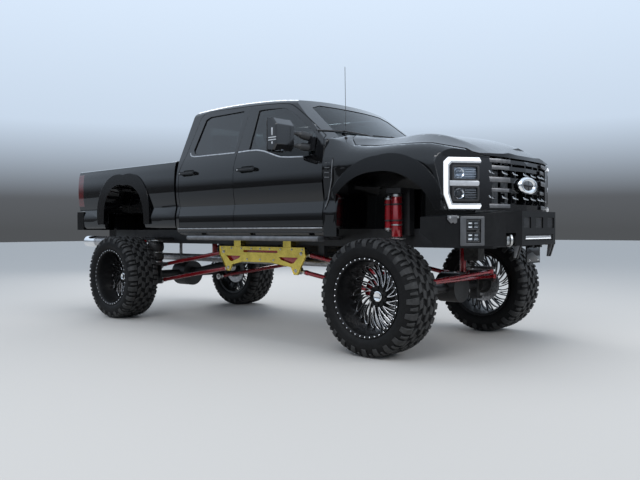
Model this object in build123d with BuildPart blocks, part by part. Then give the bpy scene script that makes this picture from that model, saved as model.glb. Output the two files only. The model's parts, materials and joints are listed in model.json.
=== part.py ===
import os
from math import atan2, cos, degrees, hypot, radians, sin, tan

from build123d import *

# Lifted crew cab pickup truck, in millimetres: X forward, Y left, Z up, the origin on the ground
# under the middle of its length.

# Driving sizes
length = 6340
front_overhang = 1030
wheelbase = 4060
nose_x = length / 2
tail_x = -length / 2
front_axle_x = nose_x - front_overhang
rear_axle_x = front_axle_x - wheelbase
gap = 7
seat = 0.3

# Wheels: the tyre's middle plane is at wheel_y, and w runs outward from it
tyre_radius = 516
tread_depth = 15
lug_count = 18
wheel_y = 1011
bead_radius = 330
rim_lip_radius = 349
rim_lip_w = 187
mount_face_w = -101
spoke_face_w = -12
spindle_radius = 40
petal_count = 12

# Steering
kingpin_y = 760
steer_arm = 195
steer_arm_z = 560
rod_z = 610
pitman_x = front_axle_x + 190
pitman_y = 330
pitman_z = 715

# Frame
rail_inner_y = 395
rail_outer_y = 465
rail_low_z = 935
rail_top_z = 1110
rail_front_x = nose_x - 210
rail_back_x = tail_x + 210

# Body levels
cab_back_x = -790
door_front_x = 1494
door_low_z = 1135
split_x = 232
belt_z = 1925
cowl_z = 1965
bed_front_x = cab_back_x - 25
bed_back_x = tail_x + 220
bed_rail_z = 1910
bed_floor_z = 1380
bed_inner_y = 850
gate_hinge_x = bed_back_x - 35
gate_hinge_z = 1405
bonnet_hinge_x = door_front_x + 126
bonnet_hinge_z = 1985
front_hinge_x = door_front_x + 3
rear_hinge_x = split_x - gap + 3
door_hinge_y = 1014
hinge_levels = (1580, 1635)

os.makedirs("parts", exist_ok=True)


# An outline is a list of steps: (u, v) is a straight line to that point and
# (mid_u, mid_v, u, v) is an arc through the first point to the second.
def prism(plane, amount, steps, taper=0):
    with BuildPart() as made:
        with BuildSketch(plane):
            with BuildLine():
                here = steps[0]
                for step in list(steps[1:]) + [steps[0]]:
                    there = step[-2:]
                    if len(step) == 4:
                        ThreePointArc(here, step[:2], there)
                    elif hypot(there[0] - here[0], there[1] - here[1]) > 1e-6:
                        Line(here, there)
                    here = there
            make_face()
        extrude(amount=amount, taper=taper)
    return made.part


def along_x(x0, x1, steps):
    return prism(Plane.YZ.offset(x0), x1 - x0, steps)


def along_y(y0, y1, steps):
    return prism(Plane.XZ.offset(-y1), y1 - y0, steps)


def along_z(z0, z1, steps):
    return prism(Plane.XY.offset(z0), z1 - z0, steps)


def block(x0, x1, y0, y1, z0, z1):
    with BuildPart(Location(((x0 + x1) / 2, (y0 + y1) / 2, (z0 + z1) / 2))) as made:
        Box(x1 - x0, y1 - y0, z1 - z0)
    return made.part


def bar(start, end, radius):
    run = Vector(*end) - Vector(*start)
    with BuildPart() as made:
        with BuildSketch(Plane(origin=start, z_dir=run)):
            Circle(radius)
        extrude(amount=run.length)
    return made.part


# Half outlines start and end on the middle line, and are given their mirror image here
def both_sides(half, flip=(-1, 1)):
    fu, fv = flip
    back = []
    for i in range(len(half) - 1, 0, -1):
        to = half[i - 1][-2:]
        mid = (fu * half[i][0], fv * half[i][1]) if len(half[i]) == 4 else ()
        back.append((*mid, fu * to[0], fv * to[1]))
    return list(half) + back


def plan(half, low, top):
    return prism(Plane.XY.offset(low), top - low, both_sides(half, (1, -1)))


def other_side(part):
    return mirror(part, about=Plane.XZ)


# A table whose lengths are measured from an axle or an end is set down at that place
def placed(steps, x):
    return [tuple(v if i % 2 else v + x for i, v in enumerate(step)) for step in steps]


def put_out(part, name):
    part.label = name
    export_step(part, f"parts/{name}.step")


# Wheels
rim_profile = [
    (rim_lip_w, rim_lip_radius), (171, rim_lip_radius), (170, bead_radius), (125, bead_radius),
    (105, 312), (-105, 312), (-125, bead_radius), (-170, bead_radius), (-171, rim_lip_radius),
    (-rim_lip_w, rim_lip_radius), (-rim_lip_w, 341), (-179, 323), (-150, 318), (-105, 302),
    (40, 302), (98, 302), (130, 318), (179, 323), (rim_lip_w, 341),
]
tyre_profile = [
    (167.5, bead_radius + seat), (170.5, 352), (192, 358), (205, 425, 197, 488), (174, 508),
    (0, tyre_radius), (-174, 508), (-197, 488), (-205, 425, -192, 358), (-170.5, 352),
    (-167.5, bead_radius + seat), (-140, bead_radius + seat), (-150, 356), (-188, 425, -176, 472),
    (-150, 488), (150, 488), (176, 472), (188, 425, 150, 356), (140, bead_radius + seat),
]


def spun(steps):
    with BuildPart() as made:
        with BuildSketch(Plane.YZ):
            with BuildLine():
                here = steps[0]
                for step in list(steps[1:]) + [steps[0]]:
                    there = step[-2:]
                    if len(step) == 4:
                        ThreePointArc(here, step[:2], there)
                    elif hypot(there[0] - here[0], there[1] - here[1]) > 1e-6:
                        Line(here, there)
                    here = there
            make_face()
        revolve(axis=Axis.Y)
    return made.part


hub_plane = Plane(origin=(0, mount_face_w, 0), z_dir=(0, 1, 0), x_dir=(1, 0, 0))
disc_back = hub_plane.offset(spoke_face_w - mount_face_w - 40)
petal_rows = (
    # inner radius, outer radius, start angle, lean at the tip, width, bar
    (88, 308, 0, -31, 62, 15), (168, 308, 15, -17, 40, 12),
)


# Petals are long closed loops that lean one way round the hub
def petals(inset):
    with BuildSketch(disc_back) as made:
        for inner, outer, start, lean, wide, bar_width in petal_rows:
            x0, y0 = inner, 0
            x1, y1 = outer * cos(radians(lean)), outer * sin(radians(lean))
            turn = degrees(atan2(y1 - y0, x1 - x0))
            reach = hypot(x1 - x0, y1 - y0)
            for n in range(petal_count):
                around = start + n * 360 / petal_count
                mid = Vector((x0 + x1) / 2, (y0 + y1) / 2, 0).rotate(Axis.Z, around)
                with Locations(Location((mid.X, mid.Y, 0), (0, 0, turn + around))):
                    SlotOverall(reach - 2 * inset * bar_width, wide - 2 * inset * bar_width)
    return made.sketch


with BuildPart() as rim:
    with BuildSketch(disc_back):
        add(petals(0))
        add(petals(1), mode=Mode.SUBTRACT)
        Circle(95)
    extrude(amount=40)
    add(spun(rim_profile))
    with BuildSketch(hub_plane):
        Circle(95)
    extrude(amount=spoke_face_w - mount_face_w)
    with BuildSketch(hub_plane):
        Circle(46)
    extrude(amount=spoke_face_w - mount_face_w + 14)
    with BuildSketch(hub_plane):
        Circle(spindle_radius + 0.5)
    extrude(amount=62, mode=Mode.SUBTRACT)

# Mud tyre: slots cut through both shoulders leave the side lugs, and short slots the middle ones
lug_turn = 360 / lug_count
slot_rows = (
    # from w, to w, start angle, width along the tread
    (72, 230, 0, 62), (-230, -72, lug_turn / 2, 62), (-54, 54, lug_turn / 4, 30), (-54, 54, lug_turn * 3 / 4, 30),
)
with BuildPart() as tyre_solid:
    add(spun(tyre_profile))
    for w0, w1, start, wide in slot_rows:
        with BuildSketch(Plane(origin=(0, w0, 0), z_dir=(0, 1, 0), x_dir=(1, 0, 0))):
            with PolarLocations(tyre_radius - tread_depth + 30, lug_count, start):
                Rectangle(60, wide)
        extrude(amount=w1 - w0, mode=Mode.SUBTRACT)
tyre = tyre_solid.part

wheel_places = (
    ("front_left", front_axle_x, 1), ("front_right", front_axle_x, -1),
    ("rear_left", rear_axle_x, 1), ("rear_right", rear_axle_x, -1),
)
for place, axle_x, side in wheel_places:
    for kind, shape in (("rim", rim.part), ("tyre", tyre)):
        with BuildPart() as wheel_piece:
            with Locations((axle_x, wheel_y, tyre_radius)):
                add(shape)
            if side < 0:
                mirror(about=Plane.XZ, mode=Mode.REPLACE)
        put_out(wheel_piece.part, f"{kind}_{place}")

# Axles and knuckles
hub_face_y = wheel_y + mount_face_w - seat
axle_z = tyre_radius

with BuildPart() as half_front_axle:
    add(bar((front_axle_x, 0, axle_z), (front_axle_x, 690, axle_z), 46))
    add(block(front_axle_x - 40, front_axle_x + 40, 678, 700, axle_z - 150, axle_z + 150))
    for low in (axle_z - 150, axle_z + 125):
        add(block(front_axle_x - 40, front_axle_x + 40, 700, 800, low, low + 25))
    add(block(front_axle_x - 110, front_axle_x + 30, 560, 650, axle_z + 20, axle_z + 84))
    add(block(front_axle_x - 130, front_axle_x, 500.3, 517, axle_z - 110, axle_z + 140))
with BuildPart() as front_axle:
    add(half_front_axle.part)
    mirror(about=Plane.XZ)
    with Locations(Location((front_axle_x - 5, 250, axle_z), (0, 90, 0))):
        Cylinder(150, 230)
    add(bar((front_axle_x - 190, 250, axle_z + 20), (front_axle_x, 250, axle_z + 20), 60))
put_out(front_axle.part, "front_axle")

with BuildPart() as knuckle_left:
    with Locations((front_axle_x, kingpin_y, axle_z)):
        Cylinder(34, 250 - 2 * seat)
    add(bar((front_axle_x, kingpin_y - 15, axle_z), (front_axle_x, 880, axle_z), 78))
    add(bar((front_axle_x, 870, axle_z), (front_axle_x, hub_face_y, axle_z), 105))
    add(bar((front_axle_x, hub_face_y - 1, axle_z), (front_axle_x, hub_face_y + 58, axle_z), spindle_radius))
    with BuildSketch(Plane.XY.offset(steer_arm_z)):
        with Locations((front_axle_x + steer_arm / 2, kingpin_y)):
            SlotCenterToCenter(steer_arm, 56, rotation=0)
    extrude(amount=24)
    with Locations((front_axle_x + steer_arm, kingpin_y, steer_arm_z + 12)):
        Cylinder(12.5, 40, mode=Mode.SUBTRACT)
put_out(knuckle_left.part, "knuckle_left")
put_out(other_side(knuckle_left.part), "knuckle_right")

with BuildPart() as steering_rods:
    add(bar((front_axle_x + steer_arm, -kingpin_y, rod_z), (front_axle_x + steer_arm, kingpin_y, rod_z), 18))
    for side in (-1, 1):
        with Locations((front_axle_x + steer_arm, side * kingpin_y, rod_z - 2)):
            Cylinder(30, 44)
        with Locations((front_axle_x + steer_arm, side * kingpin_y, steer_arm_z + 13)):
            Cylinder(12, 34)
    add(bar((pitman_x + steer_arm, pitman_y, pitman_z - 30), (front_axle_x + steer_arm, -620, rod_z + 6), 17))
    with Locations((pitman_x + steer_arm, pitman_y, pitman_z - 30)):
        Cylinder(28, 40)
    with Locations((pitman_x + steer_arm, pitman_y, pitman_z)):
        Cylinder(12, 40)
put_out(steering_rods.part, "steering_rods")

with BuildPart() as pitman_arm:
    with BuildSketch(Plane.XY.offset(pitman_z - 5)):
        with Locations((pitman_x + steer_arm / 2, pitman_y)):
            SlotCenterToCenter(steer_arm, 60)
    extrude(amount=22)
    with Locations((pitman_x + steer_arm, pitman_y, pitman_z)):
        Cylinder(12.5, 80, mode=Mode.SUBTRACT)
    with Locations((pitman_x, pitman_y, pitman_z + 30)):
        Cylinder(18, 60)
put_out(pitman_arm.part, "pitman_arm")

with BuildPart() as half_rear_axle:
    add(bar((rear_axle_x, 0, axle_z), (rear_axle_x, 850, axle_z), 54))
    add(bar((rear_axle_x, 840, axle_z), (rear_axle_x, hub_face_y, axle_z), 105))
    add(bar((rear_axle_x, hub_face_y - 1, axle_z), (rear_axle_x, hub_face_y + 58, axle_z), spindle_radius))
    add(block(rear_axle_x, rear_axle_x + 170, 540, 557, axle_z - 110, axle_z + 160))
    add(block(rear_axle_x + 60, rear_axle_x + 330, 557, 740, 660, 690))
    add(block(rear_axle_x + 60, rear_axle_x + 120, 557, 640, axle_z - 20, 690))
    add(block(rear_axle_x - 190, rear_axle_x, 560, 650, axle_z - 20, axle_z + 60))
with BuildPart() as rear_axle:
    add(half_rear_axle.part)
    mirror(about=Plane.XZ)
    with Locations(Location((rear_axle_x, 0, axle_z), (0, 90, 0))):
        Cylinder(165, 270)
    add(bar((rear_axle_x, 0, axle_z + 20), (rear_axle_x + 210, 0, axle_z + 20), 65))
put_out(rear_axle.part, "rear_axle")

# Frame with its cab mounts and spring seats
cross_rows = (
    # x0, x1, low z, top z
    (nose_x - 490, nose_x - 370, rail_low_z, rail_top_z),
    (front_axle_x - 280, front_axle_x - 180, rail_low_z, rail_low_z + 80),
    (-120, -40, rail_low_z + 30, rail_top_z),
    (rear_axle_x + 420, rear_axle_x + 520, rail_low_z + 60, rail_top_z),
    (rear_axle_x - 380, rear_axle_x - 280, rail_low_z + 20, rail_top_z),
    (rail_back_x, rail_back_x + 90, rail_low_z, rail_top_z),
)
cab_mount_rows = (-650, 250, 1250)
with BuildPart() as rail_left:
    add(block(rail_back_x, rail_front_x, rail_inner_y, rail_outer_y, rail_low_z, rail_top_z))
    for x in cab_mount_rows:
        add(bar((x, 430, rail_top_z - 5), (x, 430, 1150), 34))
put_out(rail_left.part + other_side(rail_left.part), "frame_rails")

cross_half = rail_inner_y - seat
with BuildPart() as crossmembers:
    for x0, x1, low, top in cross_rows:
        add(block(x0, x1, -cross_half, cross_half, low, top))
    # Gearbox crossmember, which hangs under the rails
    add(block(950, 1030, -rail_outer_y, rail_outer_y, 810, 850))
    for side in (-1, 1):
        y0, y1 = sorted((side * (rail_inner_y + 2), side * (rail_outer_y - 2)))
        add(block(950, 1030, y0, y1, 845, rail_low_z - seat))
put_out(crossmembers.part, "crossmembers")

with BuildPart() as half_seats:
    add(block(rear_axle_x + 80, rear_axle_x + 330, rail_outer_y + seat, 755, 985, 1010))
    add(block(rear_axle_x - 190, rear_axle_x - 90, rail_outer_y + seat, 660, 985, 1010))
put_out(half_seats.part + other_side(half_seats.part), "spring_seats")

with BuildPart() as tower_left:
    add(block(front_axle_x - 180, front_axle_x + 20, rail_outer_y + seat, 545, rail_top_z - 60, 1485))
    add(block(front_axle_x - 160, front_axle_x, 545, 660, 1440, 1485))
put_out(tower_left.part + other_side(tower_left.part), "shock_towers")

with BuildPart() as steering_box:
    add(block(pitman_x - 70, pitman_x + 90, 270, cross_half, 790, 960))
    with Locations((pitman_x, pitman_y, 800)):
        Cylinder(18.5, 60, mode=Mode.SUBTRACT)
put_out(steering_box.part, "steering_box")

with BuildPart() as hitch:
    add(block(rail_back_x - 110, rail_back_x + 70, -45, 45, 925, 1015))
    add(block(rail_back_x - 111, rail_back_x + 60, -25.5, 25.5, 944.5, 995.5), mode=Mode.SUBTRACT)
    with Locations(Location((rail_back_x - 55, 0, 970), (90, 0, 0))):
        Cylinder(8.2, 100, mode=Mode.SUBTRACT)
    add(crossmembers.part, mode=Mode.SUBTRACT)
put_out(hitch.part, "hitch")

# Engine, gearbox and transfer case as plain blocks
with BuildPart() as powertrain:
    add(block(1600, 2500, -290, 290, 1120, 1770))
    add(block(560, 1610, -190, 190, 850, 1105))
    add(block(1500, 1610, -230, 230, 980, 1140))
    add(block(240, 570, -150, 320, 800, 1080))
put_out(powertrain.part, "powertrain")

with BuildPart() as driveshafts:
    add(bar((260, 0, 900), (rear_axle_x + 190, 0, axle_z + 24), 48))
    add(bar((550, 250, 850), (front_axle_x - 170, 250, axle_z + 24), 38))
    for carrier in (powertrain, front_axle, rear_axle):
        add(carrier.part, mode=Mode.SUBTRACT)
put_out(driveshafts.part, "driveshafts")

with BuildPart() as radiator:
    add(block(nose_x - 480, nose_x - 410, -400, 400, rail_top_z, 1640))
put_out(radiator.part, "radiator")

with BuildPart() as fuel_tank:
    add(block(-1250, -200, 110, rail_inner_y, 790, 1060))
put_out(fuel_tank.part, "fuel_tank")

with BuildPart() as exhaust:
    bend_x, outlet_x, hanger_x = rear_axle_x - 330, rear_axle_x - 600, rear_axle_x + 420
    add(bar((1300, -300, 750), (bend_x, -300, 750), 46))
    add(bar((bend_x, -300, 750), (outlet_x, -850, 955), 46))
    with Locations((bend_x, -300, 750), (outlet_x, -850, 955)):
        Sphere(46)
    add(bar((outlet_x, -850, 955), (tail_x + 120, -850, 955), 70))
    add(bar((outlet_x - 280, -850, 955), (tail_x + 119, -850, 955), 64), mode=Mode.SUBTRACT)
    add(block(975, 1005, -320, -280, 780, 810))
    add(block(hanger_x - 12, hanger_x + 12, -430, -400, 740, rail_low_z))
    add(block(hanger_x - 12, hanger_x + 12, -430, -310, 740, 765))
put_out(exhaust.part, "exhaust")

# Suspension: link rows are x, y, z at each eye
link_rows = (
    # bracket end, axle end
    ((-470, 509.7, 850), (rear_axle_x + 90, 509.7, 640)), ((-390, 509.7, 665), (rear_axle_x + 90, 509.7, 440)),
    ((790, 509.7, 850), (front_axle_x - 80, 470, 620)), ((710, 509.7, 665), (front_axle_x - 80, 470, 440)),
)
with BuildPart() as half_links:
    for near, far in link_rows:
        add(bar(near, far, 22))
        for x, y, z in (near, far):
            add(bar((x, y - 30, z), (x, y + 30, z), 40))
with BuildPart() as suspension_links:
    add(half_links.part)
    mirror(about=Plane.XZ)
put_out(suspension_links.part, "suspension_links")

bracket_outline = [
    (-543, 915), (845, 915), (850, 820), (735, 620), (690, 620), (650, 700), (330, 740), (-130, 740),
    (-330, 700), (-365, 628), (-415, 628), (-550, 820),
]
bracket_holes = (
    [(-425, 806), (-170, 806), (-205, 776), (-330, 738), (-360, 746)],
    [(745, 806), (455, 806), (490, 776), (640, 738), (680, 746)],
)
with BuildPart() as half_brackets:
    add(along_y(540, 560, bracket_outline))
    for hole in bracket_holes:
        add(along_y(530, 570, hole), mode=Mode.SUBTRACT)
    with BuildSketch(Plane.XZ.offset(-570)):
        with Locations((155, 862)):
            SlotOverall(560, 26)
    extrude(amount=40, mode=Mode.SUBTRACT)
    for x in (-250, 560):
        add(block(x - 60, x + 60, rail_outer_y, 541, 880, 1020))
with BuildPart() as link_brackets:
    add(half_brackets.part)
    mirror(about=Plane.XZ)
put_out(link_brackets.part, "link_brackets")

with BuildPart() as half_shocks:
    strut_x = front_axle_x - 80
    add(bar((strut_x, 605, axle_z + 84), (strut_x, 605, 1040), 34))
    add(bar((strut_x, 605, 1020), (strut_x, 605, 1440), 50))
    add(bar((strut_x, 605, 1012), (strut_x, 605, 1026), 80))
    add(bar((rear_axle_x - 140, 605, axle_z + 60), (rear_axle_x - 140, 605, 800), 26))
    add(bar((rear_axle_x - 140, 605, 760), (rear_axle_x - 140, 605, 985), 38))
with BuildPart() as shock_absorbers:
    add(half_shocks.part)
    mirror(about=Plane.XZ)
put_out(shock_absorbers.part, "shock_absorbers")

with BuildPart() as half_springs:
    add(bar((rear_axle_x + 205, 655, 690), (rear_axle_x + 205, 655, 985), 105))
with BuildPart() as air_springs:
    add(half_springs.part)
    mirror(about=Plane.XZ)
put_out(air_springs.part, "air_springs")

# Cab: half outlines across the body, as (y, z)
cab_outer_half = [
    (0, 1050), (925, 1050), (985, 1085), (1003, door_low_z), (1014, 1265), (990, 1372),
    (1017, 1640, 968, belt_z), (746.9, 2550), (0, 2550),
]
cab_inner_half = [
    (0, 1190), (895, 1190), (895, 1840), (912, belt_z), (740, 2430), (690, 2444), (0, 2474),
]
roof_half = [
    (0, 1000), (1100, 1000), (1100, 1864), (786, 2425), (765, 2457, 715, 2484), (400, 2508, 0, 2516),
]
roof_rows = (
    # x, rise
    (-900, 2), (-560, 16), (-50, 20), (400, 2), (850, -40), (1080, -76), (1700, -210),
)
roof_skin = 38
cab_side = [
    (cab_back_x, 1040), (1560, 1040), (1560, 1800), (1650, 1800), (1650, 1925), (1612, 1932),
    (1612, 2200), (1000, 2600), (-560, 2560), (-660, 2516), (-712, 2452), (-770, 1900),
]
cab_inside = [
    (cab_back_x + 50, 1180), (1515, 1180), (1515, 1840), (1560, 1900), (1560, 2200), (900, 2600),
    (-600, 2600), (-665, 2400), (-722, 1900),
]
screen_rise = (-577, 0, 429)


def below_roof(drop):
    with BuildPart() as made:
        for x, rise in roof_rows:
            with BuildSketch(Plane.YZ.offset(x)):
                with BuildLine():
                    steps = both_sides([tuple(v + (rise - drop) * (i % 2) for i, v in enumerate(p)) for p in roof_half])
                    here = steps[0]
                    for step in steps[1:] + [steps[0]]:
                        there = step[-2:]
                        if len(step) == 4:
                            ThreePointArc(here, step[:2], there)
                        elif hypot(there[0] - here[0], there[1] - here[1]) > 1e-6:
                            Line(here, there)
                        here = there
                make_face()
        loft()
    return made.part


# The space ahead of the windscreen, whose plan is an arc that leans back as it rises
def ahead_of_screen(back):
    side, middle = 1532 - back, 1644 - back
    radius = (780 ** 2 + (middle - side) ** 2) / (2 * (middle - side))
    wide = 1050
    edge = middle - radius + (radius ** 2 - wide ** 2) ** 0.5
    with BuildPart() as made:
        with BuildSketch(Plane.XY.offset(cowl_z)):
            with BuildLine():
                ThreePointArc((edge, -wide), (middle, 0), (edge, wide))
                Polyline((edge, wide), (2600, wide), (2600, -wide), (edge, -wide))
            make_face()
        extrude(amount=1200, dir=screen_rise)
    return made.part


# A door plug narrows toward the cab, so that it swings out past its neighbours. Its outline is
# given where it shows, and is moved out by what the taper takes away at that depth.
plug_y = 1025
plug_taper = 17


skin_rows = (
    # z, y
    (1085, 985), (door_low_z, 1003), (1265, 1014), (1372, 990), (1440, 1003.6), (1520, 1013.6),
    (1640, 1017), (1700, 1013.4), (1760, 1006.4), (1850, 989), (belt_z, 968), (2400, 800), (2450, 772),
    (2484, 715),
)
plug_levels = (1265, 1372, 1440, 1520, 1640, 1700, 1760, 1850)


def skin_y(z):
    for (z0, y0), (z1, y1) in zip(skin_rows, skin_rows[1:]):
        if z0 <= z <= z1:
            return y0 + (y1 - y0) * (z - z0) / (z1 - z0)
    return skin_rows[-1][1]


# Radius of the pin in the shut line, which the tapered edge of the door just clears as it turns
def hinge_radius(edge_x, axis_x, z0, z1):
    depths = []
    for z in (z0, z1):
        below = max(level for level in plug_levels if level <= z)
        above = min(level for level in plug_levels if level >= z)
        share = (z - below) / (above - below)
        depths.append(skin_y(below) + (skin_y(above) - skin_y(below)) * share - door_hinge_y)
    reach = [axis_x - edge_x + depth * tan(radians(plug_taper)) for depth in depths]
    return min(reach) * cos(radians(plug_taper)) - seat


def plug(corners_shown, extra=0):
    outline = []
    for (x0, z0), (x1, z1) in zip(corners_shown, corners_shown[1:] + corners_shown[:1]):
        outline.append((x0, z0))
        levels = [z for z in plug_levels if min(z0, z1) + 30 < z < max(z0, z1) - 30]
        for z in sorted(levels, reverse=z1 < z0):
            outline.append((x0 + (x1 - x0) * (z - z0) / (z1 - z0), z))
    count = len(outline)
    lines = []
    for i in range(count):
        (x0, z0), (x1, z1) = outline[i], outline[(i + 1) % count]
        run = hypot(x1 - x0, z1 - z0)
        nx, nz = (z1 - z0) / run, -(x1 - x0) / run
        ends = []
        for x, z in ((x0, z0), (x1, z1)):
            off = (plug_y - skin_y(z)) * tan(radians(plug_taper)) + extra
            ends.append((x + nx * off, z + nz * off))
        lines.append(ends)
    corners = []
    for i in range(count):
        (ax, az), (bx, bz) = lines[i - 1]
        (cx, cz), (dx, dz) = lines[i]
        cross = (bx - ax) * (dz - cz) - (bz - az) * (dx - cx)
        t = ((cx - ax) * (dz - cz) - (cz - az) * (dx - cx)) / cross
        corners.append((ax + (bx - ax) * t, az + (bz - az) * t))
    return prism(Plane.XZ.offset(-plug_y), 420, corners, plug_taper)


# Outlines run anticlockwise as seen with X to the right and Z up
front_door_outline = [
    (split_x, door_low_z), (door_front_x, door_low_z), (door_front_x, 1860), (1450, 2012),
    (1188, 2203), (985, 2334), (905, 2380), (845, 2402), (700, 2420), (275, 2440),
    (split_x + 14, belt_z), (split_x, 1800),
]
rear_door_outline = [
    (-728, door_low_z), (split_x - gap, door_low_z), (split_x - gap, 1800),
    (split_x + 14 - gap, belt_z), (275 - gap, 2440), (-440, 2460), (-520, 2448), (-572, 2396),
    (-655, 1960), (-728, 1780),
]
front_window_outline = [
    (420, 1944), (660, 1920), (915, 1832), (1340, 1815), (1385, 1842), (1392, 1960), (1335, 2034),
    (957, 2288), (850, 2340), (790, 2360), (488, 2377), (420, 2374),
]
rear_window_outline = [
    (-430, 1955), (200, 1945), (175, 2400), (-400, 2400), (-470, 2372), (-540, 2020), (-510, 1980),
]
screen_outline = [(-755, 2010), (755, 2010), (655, 2350), (520, 2392), (-520, 2392), (-655, 2350)]
back_window_outline = [(-640, 1975), (640, 1975), (560, 2340), (-560, 2340)]

cab_outer = along_x(-899, 1699, both_sides(cab_outer_half)) & along_y(-1100, 1100, cab_side) & below_roof(0)
cab_inner = (
    along_x(-899, 1699, both_sides(cab_inner_half)) & along_y(-1000, 1000, cab_inside) & below_roof(roof_skin)
)
with BuildPart() as cab_walls:
    add(cab_outer)
    add(ahead_of_screen(0), mode=Mode.SUBTRACT)
    with BuildPart(mode=Mode.PRIVATE) as cabin_space:
        add(cab_inner)
        add(ahead_of_screen(75), mode=Mode.SUBTRACT)
    add(cabin_space.part, mode=Mode.SUBTRACT)
    add(block(-900, 1700, -850, 850, 1000, 1150), mode=Mode.SUBTRACT)
    for side in (-1, 1):
        low, high = sorted((side * 940, side * 1100))
        add(block(door_front_x + 2, 1700, low, high, 1000, 1790), mode=Mode.SUBTRACT)
        low, high = sorted((side * 715, side * 1100))
        add(block(1500, 1700, low, high, 1790, 2200), mode=Mode.SUBTRACT)
        low, high = sorted((side * 880, side * 1100))
        add(block(1500, 1700, low, high, 1690, 2200), mode=Mode.SUBTRACT)

handle_long = 286
doors = {}
for name, outline, window, handle_x, handle_z in (
    ("door_front", front_door_outline, front_window_outline, 447, 1734),
    ("door_rear", rear_door_outline, rear_window_outline, -552, 1752),
):
    with BuildPart() as door:
        add(cab_walls.part)
        add(plug(outline), mode=Mode.INTERSECT)
        add(along_y(600, 1100, window), mode=Mode.SUBTRACT)
        # Pull handle over its cup
        with BuildSketch(Plane.XZ.offset(-996)):
            with Locations((handle_x, handle_z)):
                SlotOverall(handle_long - 70, 70)
        extrude(amount=-40, mode=Mode.SUBTRACT)
        with BuildSketch(Plane.XZ.offset(-1028)):
            with Locations((handle_x, handle_z)):
                SlotOverall(handle_long, 36)
        extrude(amount=-20)
        for end in (-1, 1):
            x = handle_x + end * (handle_long / 2 - 20)
            add(block(x - 14, x + 14, 985, 1030, handle_z - 14, handle_z + 14))
    doors[name] = door.part
    put_out(door.part, f"{name}_left")
    put_out(other_side(door.part), f"{name}_right")

with BuildPart() as cab_shell:
    add(cab_walls.part)
    for outline in (front_door_outline, rear_door_outline):
        opening = plug(outline, gap)
        add(opening, mode=Mode.SUBTRACT)
        add(other_side(opening), mode=Mode.SUBTRACT)
    add(along_x(700, 1700, screen_outline), mode=Mode.SUBTRACT)
    add(along_x(-900, -500, back_window_outline), mode=Mode.SUBTRACT)
    # Hinge pins of the rear doors stand in the shut line on a web from the pillar
    for z in hinge_levels:
        radius = hinge_radius(split_x - gap, rear_hinge_x, z, z + 24)
        for side in (-1, 1):
            y0, y1 = sorted((side * 950, side * door_hinge_y))
            add(bar((rear_hinge_x, side * door_hinge_y, z), (rear_hinge_x, side * door_hinge_y, z + 24), radius))
            add(block(rear_hinge_x - 1.5, rear_hinge_x + 1.5, y0, y1, z, z + 24))
    # Bonnet hinges on the cowl
    for side in (-1, 1):
        y0, y1 = sorted((side * 628, side * 648))
        add(block(bonnet_hinge_x - 30, bonnet_hinge_x + 12, y0, y1, bonnet_hinge_z - 30, bonnet_hinge_z + 8))
        add(bar((bonnet_hinge_x, side * 630, bonnet_hinge_z), (bonnet_hinge_x, side * 674, bonnet_hinge_z), 8))
put_out(cab_shell.part, "cab_shell")

# Glass sits in its opening, set back from the skin
glass_band_half = [(0, 1800), (954, 1800), (954, belt_z), (790, 2392), (775, 2425), (0, 2425)]
glass_back_half = [(0, 1800), (948, 1800), (948, belt_z), (784, 2392), (769, 2425), (0, 2425)]
glass_slab = along_x(-900, 1700, both_sides(glass_band_half)) - along_x(
    -900, 1700, both_sides(glass_back_half)
)
for name, window in (("front", front_window_outline), ("rear", rear_window_outline)):
    pane = glass_slab & along_y(600, 1100, window)
    with BuildPart() as door_glass:
        add(pane)
    put_out(door_glass.part, f"glass_{name}_left")
    put_out(other_side(door_glass.part), f"glass_{name}_right")

with BuildPart() as cab_glass:
    add(ahead_of_screen(20))
    add(ahead_of_screen(8), mode=Mode.SUBTRACT)
    add(along_x(700, 1700, screen_outline), mode=Mode.INTERSECT)
    add(
        along_y(-700, 700, [(-758, 1900), (-750, 1900), (-692, 2440), (-700, 2440)])
        & along_x(-900, -500, back_window_outline)
    )
put_out(cab_glass.part, "cab_glass")

# Front body: rows give the section at each x, from the sill up to the middle line
clip_rows = (
    # x, sill y, low y, crease y, side y, side z, shoulder y, shoulder z, edge y, edge z, dome y, dome z, middle z
    (door_front_x + 6, 1003, 1011, 989, 1012, 1640, 985, 1850, 900, 1975, 700, 2012, 2042),
    (door_front_x + 256, 1000, 1006, 990, 1006, 1660, 972, 1815, 872, 1900, 700, 1985, 2032),
    (nose_x - 970, 998, 1004, 996, 1004, 1670, 968, 1795, 862, 1860, 680, 1945, 1998),
    (nose_x - 470, 985, 992, 990, 992, 1630, 955, 1748, 850, 1820, 650, 1890, 1928),
    (nose_x - 290, 975, 982, 980, 980, 1590, 935, 1695, 815, 1752, 590, 1800, 1868),
    (nose_x - 110, 960, 965, 962, 955, 1530, 885, 1620, 745, 1665, 520, 1715, 1800),
)


def clip(shrink):
    with BuildPart() as made:
        for x, sill_y, low_y, crease_y, side_y, side_z, sh_y, sh_z, edge_y, edge_z, dome_y, dome_z, mid_z in clip_rows:
            half = [
                (sill_y, 1040), (low_y, 1265), (crease_y, 1372), (side_y, side_z), (edge_y, edge_z),
                (dome_y, dome_z), (0, mid_z),
            ]
            half = [(y - shrink if y else 0, z - shrink * (z > 1400)) for y, z in half]
            with BuildSketch(Plane.YZ.offset(x)):
                with BuildLine():
                    for side in (1, -1):
                        points = [(side * y, z) for y, z in half]
                        Polyline((0, 1040), *points[:4])
                        ThreePointArc(points[3], (side * (sh_y - shrink), sh_z - shrink), points[4])
                        Polyline(*points[4:])
                make_face()
        loft()
    return made.part


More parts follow.
